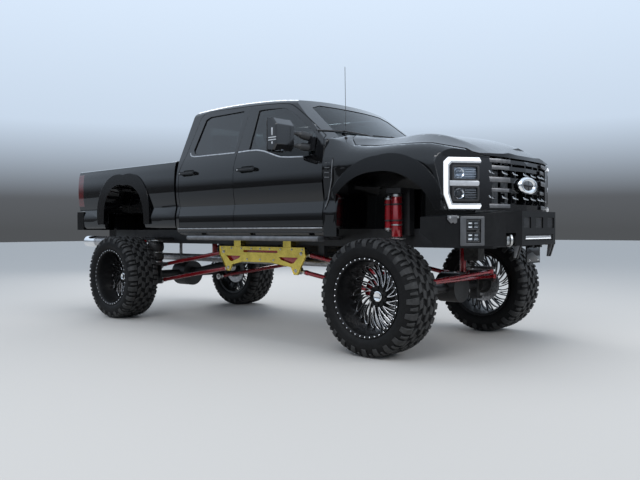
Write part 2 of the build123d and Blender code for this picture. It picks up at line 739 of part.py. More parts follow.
nose_plan = placed([(-120, 0), (-148, 400), (-220, 680), (-410, 940), (-510, 1040)], nose_x) + [
    (door_front_x - 94, 1040), (door_front_x - 94, 0),
]
nose_profile = [(door_front_x - 94, 1030)] + placed(
    [(-108, 1030), (-120, 1680), (-132, 1752), (-200, 1815), (-200, 2200)], nose_x
) + [(door_front_x - 94, 2200)]
inner_plan = placed([(-210, 0), (-240, 400), (-320, 640), (-470, 880), (-550, 1000)], nose_x) + [
    (door_front_x - 194, 1000), (door_front_x - 194, 0),
]
# Where the bonnet parts from the wings, as (x, z)
bonnet_line = placed([(174, 1980), (196, 1958), (298, 1888), (516, 1868)], door_front_x) + placed(
    [(-558, 1838), (-310, 1780), (-210, 1724), (30, 1708)], nose_x
)
front_arch = placed(
    [(-485, 1000), (-468, 1425), (-290, 1555, -30, 1612), (357, 1522, 596, 1262), (608, 1000)], front_axle_x
)
rear_arch = placed(
    [(-448, 1000), (-425, 1330), (-330, 1568, 40, 1676), (360, 1580, 480, 1340), (508, 1000)], rear_axle_x
)
front_flare = placed(
    [(-476, 1468), (-280, 1640, 10, 1715), (440, 1620, 660, 1270), (420, 1200), (-380, 1200)], front_axle_x
)
rear_flare = placed(
    [(-530, 1150), (-410, 1660, 40, 1772), (420, 1690, 570, 1380), (575, 1150)], rear_axle_x
)
lamp_low = 1264
lamp_top = 1702
grille_half = 560
lamp_side = placed([(-390, lamp_low), (130, lamp_low), (130, lamp_top), (-470, lamp_top)], nose_x)
# Blade on the wing behind the arch
vent_outline = placed(
    [(18, 1796), (127, 1776), (123, 1543), (88, 1449), (30, 1292), (18, 1292), (52, 1450), (66, 1560), (64, 1742),
     (18, 1752)], door_front_x
)


def arch_with(steps, grow):
    x_mid = (steps[0][0] + steps[-1][0]) / 2
    wide = abs(steps[-1][0] - steps[0][0]) / 2
    scale_x, scale_z = (wide + grow) / wide, (steps[2][-1] - 1000 + grow) / (steps[2][-1] - 1000)
    moved = []
    for step in steps:
        pairs = [step[i:i + 2] for i in range(0, len(step), 2)]
        flat = []
        for x, z in pairs:
            flat += [x_mid + (x - x_mid) * scale_x, 1000 + (z - 1000) * scale_z]
        moved.append(tuple(flat))
    return moved


clip_body = clip(0) & plan(nose_plan, 1000, 2200) & along_y(-1100, 1100, nose_profile)
clip_space = clip(30) & plan(inner_plan, 1000, 2200)
fender_back_x = door_front_x + 6

bonnet_inner_plan = placed([(-148, 0), (-180, 400), (-250, 660), (-470, 930)], nose_x) + [(1300, 930), (1300, 0)]
bonnet_inner_side = [(1300, 1000)] + placed(
    [(-130, 1000), (-140, 1700), (-195, 1782), (-230, 2200)], nose_x
) + [(1300, 2200)]
with BuildPart() as bonnet:
    add(clip_body)
    add(clip(24) & plan(bonnet_inner_plan, 1000, 2200) & along_y(-1100, 1100, bonnet_inner_side), mode=Mode.SUBTRACT)
    add(along_y(-1000, 1000, bonnet_line + [(nose_x + 30, 2200), (door_front_x + 174, 2200)]), mode=Mode.INTERSECT)
    for side in (-1, 1):
        low, high = (bonnet_hinge_x, side * 655, bonnet_hinge_z), (bonnet_hinge_x, side * 673, bonnet_hinge_z)
        y0, y1 = sorted((side * 655, side * 673))
        add(bar(low, high, 15))
        add(block(bonnet_hinge_x, bonnet_hinge_x + 70, y0, y1, bonnet_hinge_z - 12, bonnet_hinge_z + 8))
        add(bar(low, high, 8.3), mode=Mode.SUBTRACT)
put_out(bonnet.part, "bonnet")

under_bonnet = [(x, z - gap) for x, z in bonnet_line]
with BuildPart() as fender:
    add(clip_body)
    add(clip_space, mode=Mode.SUBTRACT)
    add(block(fender_back_x, nose_x + 100, 0, 1100, 1000, 2200), mode=Mode.INTERSECT)
    add(along_y(-10, 1100, [(door_front_x + 167, 2200), (door_front_x + 167, 1978)] + under_bonnet + [
        (nose_x + 130, 1702), (nose_x + 130, 2200)]), mode=Mode.SUBTRACT)
    add(block(1400, door_front_x + 221, -10, 722, 1000, 2200), mode=Mode.SUBTRACT)
    add(along_y(-10, 1100, lamp_side), mode=Mode.SUBTRACT)
    add(block(nose_x - 320, nose_x + 100, -10, grille_half, 1000, 2200), mode=Mode.SUBTRACT)
    # Flare, liner over the wheel, apron on the rail and the flange on the hinge pillar
    with BuildPart(mode=Mode.PRIVATE) as flare:
        add(prism(Plane.XZ.offset(-960), -66, front_flare, -30))
        add(block(fender_back_x + 2, front_axle_x + 650, 900, 1100, 1262, 2000), mode=Mode.INTERSECT)
    add(flare.part)
    add((clip(-5) - clip(2)) & along_y(900, 1100, vent_outline))
    add(along_y(400, 975, arch_with(front_arch, 16)) & block(1400, 3000, 390, 1000, 1110, 2000))
    add(block(door_front_x + 66, nose_x - 485, 396, 410, rail_top_z, 1800))
    add(block(fender_back_x, door_front_x + 66, 940, 985, 1150, 1680))
    add(along_y(380, 1200, front_arch) & block(1400, 3000, 410.5, 1200, 900, 2000), mode=Mode.SUBTRACT)
    add(block(front_axle_x + 260, nose_x + 130, 411, 1100, 1000, lamp_low), mode=Mode.SUBTRACT)
    for z in hinge_levels:
        radius = hinge_radius(door_front_x, front_hinge_x, z, z + 24)
        add(bar((front_hinge_x, door_hinge_y, z), (front_hinge_x, door_hinge_y, z + 24), radius))
        add(block(front_hinge_x, door_front_x + 10, door_hinge_y - 14, door_hinge_y - 2, z, z + 24))
put_out(fender.part + other_side(fender.part), "front_fenders")

# Headlamps: a C-shaped light guide round two sunk lenses
lamp_plane = Plane(origin=(nose_x - 315, 810, 1483), x_dir=(-190, 260, 0), z_dir=(260, 190, 0))
lens_rows = (
    # middle along the face, middle up, width, height, corner
    (-38, 88, 226, 118, 14), (-38, -84, 226, 122, 14),
)
with BuildPart() as lamp_body:
    add(clip_body)
    add(along_y(grille_half, 1100, lamp_side), mode=Mode.INTERSECT)
    add(plan(placed([(-210, 0), (-240, 400), (-340, 640), (-470, 900)], nose_x) + [(1300, 900), (1300, 0)], 1000, 2200),
        mode=Mode.SUBTRACT)
    for along, up, wide, high, corner in lens_rows:
        with BuildSketch(lamp_plane.offset(-26)):
            with Locations((along, up)):
                RectangleRounded(wide, high, corner)
        extrude(amount=60, mode=Mode.SUBTRACT)
put_out(lamp_body.part + other_side(lamp_body.part), "headlamps")

# Grille: stepped bars between a rim and the oval in the middle
grille_bars = (
    # low z, top z, stands out
    (1668, lamp_top, 0), (1612, 1646, -10), (1503, 1548, 0), (1420, 1454, -10), (lamp_low, 1318, 0),
)
with BuildPart() as grille:
    add(clip_body)
    add(block(nose_x - 370, nose_x, -grille_half, grille_half, lamp_low, lamp_top), mode=Mode.INTERSECT)
    add(plan(placed([(-180, 0), (-208, 400), (-270, 600), (-270, 700)], nose_x) + [(1300, 700), (1300, 0)], 1000, 2200),
        mode=Mode.SUBTRACT)
    with BuildPart(mode=Mode.PRIVATE) as bars:
        for low, top, out in grille_bars:
            add(plan(placed([(out - 120, 0), (out - 148, 400), (out - 218, 660), (out - 270, 680)], nose_x) + [
                (nose_x - 330, 680), (nose_x - 330, 0)], low, top))
    with BuildPart(mode=Mode.PRIVATE) as bar_space:
        add(block(nose_x - 400, nose_x + 50, -grille_half + 24, grille_half - 24, lamp_low - 1, lamp_top + 1))
        for side in (-1, 1):
            for y in (0, 212, 372):
                add(block(nose_x - 420, nose_x - 136 - y / 8, side * y - 9, side * y + 9, lamp_low, lamp_top),
                    mode=Mode.SUBTRACT)
        add(bars.part, mode=Mode.SUBTRACT)
    add(bar_space.part, mode=Mode.SUBTRACT)
    with BuildSketch(Plane(origin=(nose_x - 160, 0, 1490), x_dir=(0, 1, 0), z_dir=(1, 0, 0))):
        Ellipse(178, 62)
    extrude(amount=50)
    with BuildSketch(Plane(origin=(nose_x - 116, 0, 1490), x_dir=(0, 1, 0), z_dir=(1, 0, 0))):
        Ellipse(158, 46)
    extrude(amount=20, mode=Mode.SUBTRACT)
put_out(grille.part, "grille")

# Front bumper
bumper_low, bumper_top = 962, 1258
bumper_outer = placed([
    (-270, 0), (0, 0), (0, 345), (-30, 378), (-95, 470), (-125, 600), (-255, 905),
    (-355, 1000), (-575, 1030), (-575, 900),
], nose_x)
bumper_inner = placed([
    (-670, -5), (-75, -5), (-80, 320), (-160, 430), (-185, 580), (-308, 870), (-380, 945), (-670, 975),
], nose_x)
lamp_face = Plane(origin=(nose_x - 209.5, 798, 1088), x_dir=(-0.392, 0.92, 0), z_dir=(0.92, 0.392, 0))
hook_face = Plane(origin=(nose_x - 62.5, 424, 1005), x_dir=(-65, 92, 0), z_dir=(92, 65, 0))
with BuildPart() as half_bumper:
    add(along_z(bumper_low, bumper_top, bumper_outer))
    add(along_z(bumper_low - 10, bumper_top - 62, bumper_inner), mode=Mode.SUBTRACT)
    # The top falls and the lower edge rises toward the wheel
    add(along_x(nose_x - 700, nose_x + 10, [(378, bumper_top), (1040, 1206), (1040, 1300), (378, 1300)]),
        mode=Mode.SUBTRACT)
    add(along_y(800, 1100, placed([(-670, 900), (-430, 900), (-470, 1000), (-580, 1080), (-670, 1080)], nose_x)),
        mode=Mode.SUBTRACT)
    with BuildSketch(lamp_face):
        Rectangle(152, 196)
    extrude(amount=-32, mode=Mode.SUBTRACT)
    with BuildSketch(hook_face):
        Rectangle(92, 130)
    extrude(amount=-60, mode=Mode.SUBTRACT)
    add(block(rail_front_x, nose_x - 110, rail_inner_y, rail_outer_y, 970, rail_top_z))
    add(block(nose_x - 50, nose_x + 5, -5, 285, 1005, 1055), mode=Mode.SUBTRACT)
    # Three blank windows across the middle
    for y0, y1 in ((-5, 76), (172, 312)):
        add(block(nose_x - 14, nose_x + 5, y0, y1, 1112, 1207), mode=Mode.SUBTRACT)
    # Skid strut and the plate bracket under the middle
    add(along_y(330, 350, placed([(-60, 1010), (-8, 1010), (-8, 962), (-44, 850), (-78, 850)], nose_x)))
    add(block(nose_x - 65, nose_x - 57, 0, 140, 800, 975))
    add(block(nose_x - 65, nose_x - 20, 60, 100, 940, 980))
with BuildPart() as front_bumper:
    add(half_bumper.part)
    mirror(about=Plane.XZ)
put_out(front_bumper.part, "front_bumper")

with BuildPart() as half_lamps:
    with BuildSketch(lamp_face.offset(-32)):
        with GridLocations(0, 98, 1, 2):
            RectangleRounded(140, 86, 8)
    extrude(amount=26)
with BuildPart() as bumper_lamps:
    add(half_lamps.part)
    mirror(about=Plane.XZ)
    add(block(nose_x - 50, nose_x - 8, -275, 275, 1008, 1052))
put_out(bumper_lamps.part, "bumper_lamps")

# Bed
bed_outer_half = [
    (0, 1130), (992, 1130), (1004, 1155), (1013, 1265), (990, 1372), (1016, 1620, 1000, 1850),
    (985, 1900), (965, bed_rail_z), (0, bed_rail_z),
]
bed_skin = along_x(bed_back_x - 65, bed_front_x, both_sides(bed_outer_half))
tail_lamp_space = block(tail_x, bed_back_x + 65, 868, 1100, 1430, 1862)
with BuildPart() as bed:
    add(bed_skin)
    add(block(bed_back_x + 5, bed_front_x - 60, -bed_inner_y, bed_inner_y, bed_floor_z, 2000), mode=Mode.SUBTRACT)
    add(block(tail_x, bed_front_x + 10, -955, 955, 1100, bed_floor_z - 45), mode=Mode.SUBTRACT)
    add(block(tail_x, bed_back_x + 10, -815, 815, 1100, 2000), mode=Mode.SUBTRACT)
    add(block(tail_x, bed_back_x + 65, -1100, 1100, 1100, 1368), mode=Mode.SUBTRACT)
    for side in (-1, 1):
        y0, y1 = sorted((side * 640, side * 860))
        add(block(rear_axle_x - 500, rear_axle_x + 530, y0, y1, bed_floor_z - 20, 1705))
    for x in (bed_front_x - 205, rear_axle_x + 480, rear_axle_x - 520, bed_back_x + 110):
        add(block(x - 30, x + 30, -800, 800, rail_top_z, bed_floor_z - 20))
    with BuildPart(mode=Mode.PRIVATE) as bed_flare:
        add(prism(Plane.XZ.offset(-965), -62, rear_flare, -30))
        add(block(rear_axle_x - 640, rear_axle_x + 670, 900, 1100, 1180, 1900), mode=Mode.INTERSECT)
    add(bed_flare.part)
    add(other_side(bed_flare.part))
    for side in (-1, 1):
        y0, y1 = sorted((side * 658, side * 1200))
        add(along_y(y0, y1, rear_arch), mode=Mode.SUBTRACT)
        add(tail_lamp_space if side > 0 else other_side(tail_lamp_space), mode=Mode.SUBTRACT)
    for side in (-1, 1):
        add(bar((gate_hinge_x, side * 820, gate_hinge_z), (gate_hinge_x, side * 792, gate_hinge_z), 8))
put_out(bed.part, "bed")

with BuildPart() as tail_lamp:
    add(bed_skin & tail_lamp_space)
put_out(tail_lamp.part + other_side(tail_lamp.part), "tail_lamps")

with BuildPart() as tailgate:
    add(block(bed_back_x - 65, bed_back_x - 5, -808, 808, 1388, bed_rail_z - 4))
    # Pressed panel, handle cup and the ledge along the top
    add(block(bed_back_x - 66, bed_back_x - 59, -700, 700, 1450, 1760), mode=Mode.SUBTRACT)
    add(block(bed_back_x - 66, bed_back_x - 35, -110, 110, 1786, 1838), mode=Mode.SUBTRACT)
    for side in (-1, 1):
        add(bar((gate_hinge_x, side * 790, gate_hinge_z), (gate_hinge_x, side * 812, gate_hinge_z), 8.3), mode=Mode.SUBTRACT)
put_out(tailgate.part, "tailgate")

rear_bumper_outer = placed([
    (220, 0), (0, 0), (0, 690), (50, 960), (110, 1012), (280, 1012), (280, 900),
], tail_x)
rear_bumper_inner = placed([(470, -5), (62, -5), (62, 680), (104, 920), (140, 952), (470, 952)], tail_x)
with BuildPart() as half_rear_bumper:
    add(along_z(1112, 1358, rear_bumper_outer))
    add(along_z(1100, 1338, rear_bumper_inner), mode=Mode.SUBTRACT)
    add(block(tail_x + 170, tail_x + 300, -5, 950, 1100, 1400), mode=Mode.SUBTRACT)
    add(block(tail_x + 20, rail_back_x, rail_inner_y, rail_outer_y, 1000, 1200))
with BuildPart() as rear_bumper:
    add(half_rear_bumper.part)
    mirror(about=Plane.XZ)
put_out(rear_bumper.part, "rear_bumper")

# Steps under the doors
with BuildPart() as half_steps:
    with BuildSketch(Plane.YZ.offset(-522)):
        with Locations((1005, 1018)):
            SlotOverall(110, 50)
    extrude(amount=1993)
    for x in (-420, 400, 1250):
        add(block(x - 22, x + 22, rail_outer_y, 980, 1000, 1030))
with BuildPart() as side_steps:
    add(half_steps.part)
    mirror(about=Plane.XZ)
put_out(side_steps.part, "side_steps")

# Mirrors
with BuildPart() as mirror_left:
    with BuildSketch(Plane.XZ.offset(-1127)):
        with BuildLine():
            Polyline((1110, 1862), (1205, 1850), (1240, 1900), (1240, 2090), (1190, 2150), (1110, 2150), close=True)
        make_face()
    extrude(amount=-238)
    fillet(mirror_left.edges().filter_by(Axis.Y).group_by(Axis.X)[-1], 18)
    chamfer(mirror_left.faces().sort_by(Axis.Y)[-1].edges().filter_by(Axis.Z), 14)
    for base_z, head_z in ((1885, 1915), (1975, 2045)):
        add(bar((1345, 930, base_z), (1190, 1160, head_z), 17))
    add(along_y(900, 1008, [(1300, 1858), (1382, 1858), (1372, 1990), (1318, 2004)]))
    add(cab_walls.part, mode=Mode.SUBTRACT)
    add(along_y(500, 1100, front_window_outline) & block(800, 1700, 500, 960, 1000, 3000), mode=Mode.SUBTRACT)
mirror_solid = max(mirror_left.part.solids(), key=lambda s: s.volume)
with BuildPart() as mirror_left_only:
    add(mirror_solid)
put_out(mirror_left_only.part, "mirror_left")
put_out(other_side(mirror_left_only.part), "mirror_right")

# Cabin
with BuildPart() as dashboard:
    add(along_y(-870, 870, [(1515, 1420), (1515, 1830), (1440, 1880), (1190, 1800), (1150, 1650), (1250, 1420)]))
put_out(dashboard.part, "dashboard")

with BuildPart() as steering_wheel:
    with Locations(Location((1000, 390, 1740), (0, -65, 0))):
        Torus(185, 16)
        Box(350, 40, 14)
        Box(40, 350, 14)
    add(bar((990, 390, 1745), (1260, 390, 1620), 34))
    add(dashboard.part, mode=Mode.SUBTRACT)
wheel_solid = max(steering_wheel.part.solids(), key=lambda s: s.volume)
with BuildPart() as steering_wheel_only:
    add(wheel_solid)
put_out(steering_wheel_only.part, "steering_wheel")

seat_rows = (
    # low y, high y, back x
    (150, 690, 230), (-690, -150, 230), (-700, 700, -620),
)
with BuildPart() as seats:
    for y0, y1, x in seat_rows:
        add(along_y(y0, y1, [
            (x, 1400), (x + 90, 1330), (x + 620, 1350), (x + 640, 1440), (x + 600, 1500), (x + 170, 1480),
            (x + 70, 2080), (x - 40, 2080), (x - 30, 1600),
        ]))
        add(along_y(y0 + 60, y1 - 60, [(x + 110, 1190), (x + 560, 1190), (x + 560, 1360), (x + 110, 1360)]))
put_out(seats.part, "seats")

with BuildPart() as antenna:
    add(bar((1610, -800, 1850), (1610, -800, 1985), 14))
    add(bar((1610, -800, 1980), (1600, -800, 2650), 2.5))
    add(clip_body, mode=Mode.SUBTRACT)
    add(clip_space, mode=Mode.SUBTRACT)
put_out(antenna.part, "antenna")
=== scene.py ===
import json
import math

import bmesh
import bpy
from mathutils import Matrix, Vector


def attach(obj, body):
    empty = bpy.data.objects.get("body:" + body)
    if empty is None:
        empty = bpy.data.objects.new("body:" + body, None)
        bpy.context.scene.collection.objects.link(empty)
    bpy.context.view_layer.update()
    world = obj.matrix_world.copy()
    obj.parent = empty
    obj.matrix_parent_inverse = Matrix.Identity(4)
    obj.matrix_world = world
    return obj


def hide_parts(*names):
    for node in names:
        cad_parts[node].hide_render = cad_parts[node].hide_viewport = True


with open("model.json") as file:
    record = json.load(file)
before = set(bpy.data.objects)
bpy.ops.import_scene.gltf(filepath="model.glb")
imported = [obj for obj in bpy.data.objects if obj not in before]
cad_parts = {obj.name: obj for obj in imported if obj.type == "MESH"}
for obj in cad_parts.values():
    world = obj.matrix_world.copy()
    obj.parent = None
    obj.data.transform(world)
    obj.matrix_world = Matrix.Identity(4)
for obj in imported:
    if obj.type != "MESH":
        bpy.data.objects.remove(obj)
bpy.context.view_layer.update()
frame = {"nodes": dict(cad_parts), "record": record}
scene = bpy.context.scene
print("frame loaded:", len(frame["nodes"]), "nodes")

# Camera where the photographer stood, looking along the truck's right side
photoView = {
    "place": (5.706, -5.754, 1.104),
    "yaw": -0.7298,
    "pitch": -0.0153,
    "roll": -0.0036,
    "lens": 37.93,
}


def addCamera(setting):
    yaw, pitch, roll = setting["yaw"], setting["pitch"], setting["roll"]
    ahead = Vector((math.sin(yaw) * math.cos(pitch), math.cos(yaw) * math.cos(pitch), math.sin(pitch)))
    level = ahead.cross(Vector((0, 0, 1))).normalized()
    upright = level.cross(ahead)
    right = level * math.cos(roll) + upright * math.sin(roll)
    up = upright * math.cos(roll) - level * math.sin(roll)
    lensData = bpy.data.cameras.new("photoCamera")
    lensData.lens = setting["lens"]
    lensData.sensor_width = 36
    lensData.clip_end = 200
    camera = bpy.data.objects.new("photoCamera", lensData)
    turn = Matrix((right, up, -ahead)).transposed()
    camera.matrix_world = Matrix.Translation(setting["place"]) @ turn.to_4x4()
    scene.collection.objects.link(camera)
    scene.camera = camera


addCamera(photoView)
scene.view_settings.view_transform = "Standard"

# Studio: pale floor, a pale sky and four soft lamps
studio = {
    "floorSize": 60,
    "floorColor": (0.43, 0.41, 0.385),
    "floorRough": 0.75,
    # how high the sky is looked at, as a sine, and its color there
    "sky": ((0.00, (0.085, 0.090, 0.096)), (0.045, (0.11, 0.118, 0.130)), (0.15, (0.62, 0.73, 0.87)),
            (0.45, (0.84, 0.98, 1.16))),
    "skyStrength": 0.95,
    "lamps": (  # name, place, aim, size x, size y, watts
        ("keyLamp", (3.5, -8.0, 7.5), (0.3, 0, 1.2), 6.0, 4.0, 420),
        ("topLamp", (0.0, 0.5, 8.5), (0.0, 0, 1.5), 8.0, 4.0, 330),
        ("rimLamp", (-7.5, 6.0, 5.5), (0.0, 0, 1.4), 5.0, 4.0, 260),
        ("frontLamp", (9.5, 2.0, 5.0), (2.0, 0, 1.4), 5.0, 3.0, 240),
    ),
}


# Empties a node tree and gives what makes its nodes and what links them
def nodeTree(owner):
    owner.use_nodes = True
    tree = owner.node_tree
    tree.nodes.clear()
    return tree.nodes.new, tree.links.new


def addStudio(setting):
    floorMesh = bmesh.new()
    bmesh.ops.create_grid(floorMesh, x_segments=1, y_segments=1, size=setting["floorSize"])
    data = bpy.data.meshes.new("floor")
    floorMesh.to_mesh(data)
    floorMesh.free()
    floor = bpy.data.objects.new("floor", data)
    floorPaint = bpy.data.materials.new("floorPaint")
    make, link = nodeTree(floorPaint)
    shader, out = make("ShaderNodeBsdfPrincipled"), make("ShaderNodeOutputMaterial")
    shader.inputs["Base Color"].default_value = (*setting["floorColor"], 1)
    shader.inputs["Roughness"].default_value = setting["floorRough"]
    link(shader.outputs[0], out.inputs[0])
    data.materials.append(floorPaint)
    scene.collection.objects.link(floor)

    world = bpy.data.worlds.new("studioSky")
    scene.world = world
    make, link = nodeTree(world)
    place, split, ramp = make("ShaderNodeTexCoord"), make("ShaderNodeSeparateXYZ"), make("ShaderNodeValToRGB")
    sky, out = make("ShaderNodeBackground"), make("ShaderNodeOutputWorld")
    stops = ramp.color_ramp.elements
    while len(stops) < len(setting["sky"]):
        stops.new(0.5)
    for stop, (height, color) in zip(stops, setting["sky"]):
        stop.position, stop.color = height, (*color, 1)
    sky.inputs[1].default_value = setting["skyStrength"]
    link(place.outputs["Generated"], split.inputs[0])
    link(split.outputs[2], ramp.inputs[0])
    link(ramp.outputs[0], sky.inputs[0])
    link(sky.outputs[0], out.inputs[0])

    for name, spot, aim, sizeX, sizeY, watts in setting["lamps"]:
        lampData = bpy.data.lights.new(name, "AREA")
        lampData.shape = "RECTANGLE"
        lampData.size, lampData.size_y, lampData.energy = sizeX, sizeY, watts
        lamp = bpy.data.objects.new(name, lampData)
        lamp.location = spot
        lamp.rotation_euler = (Vector(aim) - Vector(spot)).to_track_quat("-Z", "Y").to_euler()
        lamp.visible_glossy = name != "topLamp"
        scene.collection.objects.link(lamp)


addStudio(studio)
print("camera and studio ready")

# Finishes: base color, roughness and what the surface shows close up.
# grain is (cells per metre, depth in metres), cloud is (cells per metre, share of the color),
# dust is (color, share at the ground, height in metres where it ends)
finishes = {
    "paintBlack": dict(color=(0.0012, 0.0012, 0.0016), rough=0.20, spec=0.06, coat=1.0, coatRough=0.02,
                       coatIor=1.52, cloud=(3, 0.10), grain=(260, 0.000012), edge=0.0025,
                       dust=((0.10, 0.095, 0.085), 0.015, 1.5)),
    "frameBlack": dict(color=(0.012, 0.012, 0.013), rough=0.42, cloud=(9, 0.35), grain=(900, 0.00005),
                       dust=((0.13, 0.12, 0.10), 0.16, 1.1)),
    "bumperBlack": dict(color=(0.005, 0.005, 0.0055), rough=0.34, spec=0.22, cloud=(5, 0.2),
                        grain=(1400, 0.00006), dust=((0.13, 0.12, 0.10), 0.05, 1.3)),
    "wheelBlack": dict(color=(0.0025, 0.0025, 0.003), rough=0.46, spec=0.16, coat=0.15, coatRough=0.30,
                       cloud=(12, 0.2), dust=((0.15, 0.14, 0.12), 0.05, 1.2)),
    "milled": dict(color=(0.80, 0.80, 0.82), rough=0.22, metal=1.0, cloud=(60, 0.12), grain=(700, 0.00002)),
    "rubberSide": dict(color=(0.0050, 0.0050, 0.0055), rough=0.58, spec=0.12, cloud=(14, 0.25),
                       grain=(600, 0.00010), dust=((0.16, 0.15, 0.13), 0.05, 1.3)),
    "rubberTread": dict(color=(0.017, 0.017, 0.0175), rough=0.62, spec=0.30, cloud=(22, 0.45),
                        grain=(500, 0.00022), dust=((0.18, 0.17, 0.15), 0.14, 1.2)),
    "chrome": dict(color=(0.86, 0.87, 0.88), rough=0.06, metal=1.0, cloud=(20, 0.05)),
    "redCoat": dict(color=(0.30, 0.006, 0.012), rough=0.26, metal=0.55, coat=1.0, coatRough=0.04,
                    cloud=(30, 0.25), grain=(2200, 0.00003)),
    "redBright": dict(color=(0.30, 0.006, 0.012), rough=0.24, metal=0.35, coat=1.0, coatRough=0.05,
                      cloud=(30, 0.2), grain=(2200, 0.00003)),
    "goldPlate": dict(color=(0.83, 0.64, 0.14), rough=0.17, metal=1.0, cloud=(14, 0.16),
                      grain=(240, 0.00003)),
    "steelBolt": dict(color=(0.58, 0.58, 0.57), rough=0.30, metal=1.0, cloud=(80, 0.25)),
    "plasticBlack": dict(color=(0.014, 0.014, 0.015), rough=0.48, cloud=(12, 0.2), grain=(1500, 0.00009)),
    "plasticGloss": dict(color=(0.006, 0.006, 0.007), rough=0.12, coat=0.6, coatRough=0.05,
                         cloud=(10, 0.15)),
    "plasticGrey": dict(color=(0.060, 0.062, 0.066), rough=0.40, cloud=(12, 0.2), grain=(1500, 0.00006)),
    "stepGrey": dict(color=(0.16, 0.16, 0.165), rough=0.36, metal=0.7, cloud=(16, 0.25),
                     grain=(900, 0.00005)),
    "bellows": dict(color=(0.012, 0.012, 0.012), rough=0.58, spec=0.4, cloud=(25, 0.3),
                    grain=(900, 0.00012), dust=((0.18, 0.16, 0.14), 0.10, 1.1)),
    "castIron": dict(color=(0.045, 0.043, 0.041), rough=0.62, metal=0.4, cloud=(26, 0.5),
                     grain=(700, 0.00030)),
    "alloy": dict(color=(0.42, 0.42, 0.43), rough=0.38, metal=0.9, cloud=(30, 0.3), grain=(600, 0.00008)),
    "lampWhite": dict(color=(0.90, 0.91, 0.93), rough=0.30, cloud=(30, 0.04),
                      glow=((0.96, 0.98, 1.0), 0.30)),
    "lampGrey": dict(color=(0.42, 0.43, 0.45), rough=0.30, coat=1.0, coatRough=0.05, cloud=(30, 0.1)),
    "lampBlue": dict(color=(0.34, 0.39, 0.46), rough=0.10, metal=0.6, coat=1.0, coatRough=0.03,
                     cloud=(50, 0.3)),
    "amber": dict(color=(0.75, 0.18, 0.02), rough=0.20, coat=1.0, coatRough=0.05, cloud=(90, 0.2)),
    "lampRed": dict(color=(0.075, 0.003, 0.004), rough=0.12, coat=1.0, coatRough=0.03, cloud=(40, 0.35)),
    "liner": dict(color=(0.007, 0.007, 0.007), rough=0.85, spec=0.2, cloud=(14, 0.3), grain=(700, 0.0003)),
    "clothDark": dict(color=(0.020, 0.020, 0.023), rough=0.86, spec=0.2, sheen=0.25, cloud=(30, 0.3),
                      grain=(1100, 0.00035)),
}
clearFinishes = {
    # tint, roughness, index of refraction
    "glassRear": ((0.030, 0.034, 0.036), 0.015, 1.62),
    "glassFront": ((0.12, 0.135, 0.14), 0.015, 1.56),
    "glassScreen": ((0.10, 0.13, 0.14), 0.010, 1.22),
    "lensClear": ((0.90, 0.92, 0.95), 0.010, 1.36),
    "lensRed": ((0.45, 0.012, 0.016), 0.05, 1.36),
}
stock = {}


def mixColor(make, link, amount, low, high):
    mix = make("ShaderNodeMix")
    mix.data_type = "RGBA"
    for value, socket in ((amount, mix.inputs[0]), (low, mix.inputs[6]), (high, mix.inputs[7])):
        if hasattr(value, "links"):
            link(value, socket)
        else:
            socket.default_value = value
    return mix.outputs[2]


def addNoise(make, link, place, scale, detail=3.0):
    noise = make("ShaderNodeTexNoise")
    noise.inputs["Scale"].default_value = scale
    noise.inputs["Detail"].default_value = detail
    link(place, noise.inputs["Vector"])
    return noise.outputs[0]


def mapRange(make, link, value, fromLow, fromHigh, toLow, toHigh):
    node = make("ShaderNodeMapRange")
    link(value, node.inputs[0])
    for i, number in enumerate((fromLow, fromHigh, toLow, toHigh)):
        node.inputs[i + 1].default_value = number
    return node.outputs[0]


# Noise mostly lies within noiseSpan, which is spread over low to high
noiseSpan = (0.3, 0.7)
roughSpan = (0.85, 1.15)


def spreadNoise(make, link, place, scale, low, high, detail=3.0):
    return mapRange(make, link, addNoise(make, link, place, scale, detail), *noiseSpan, low, high)


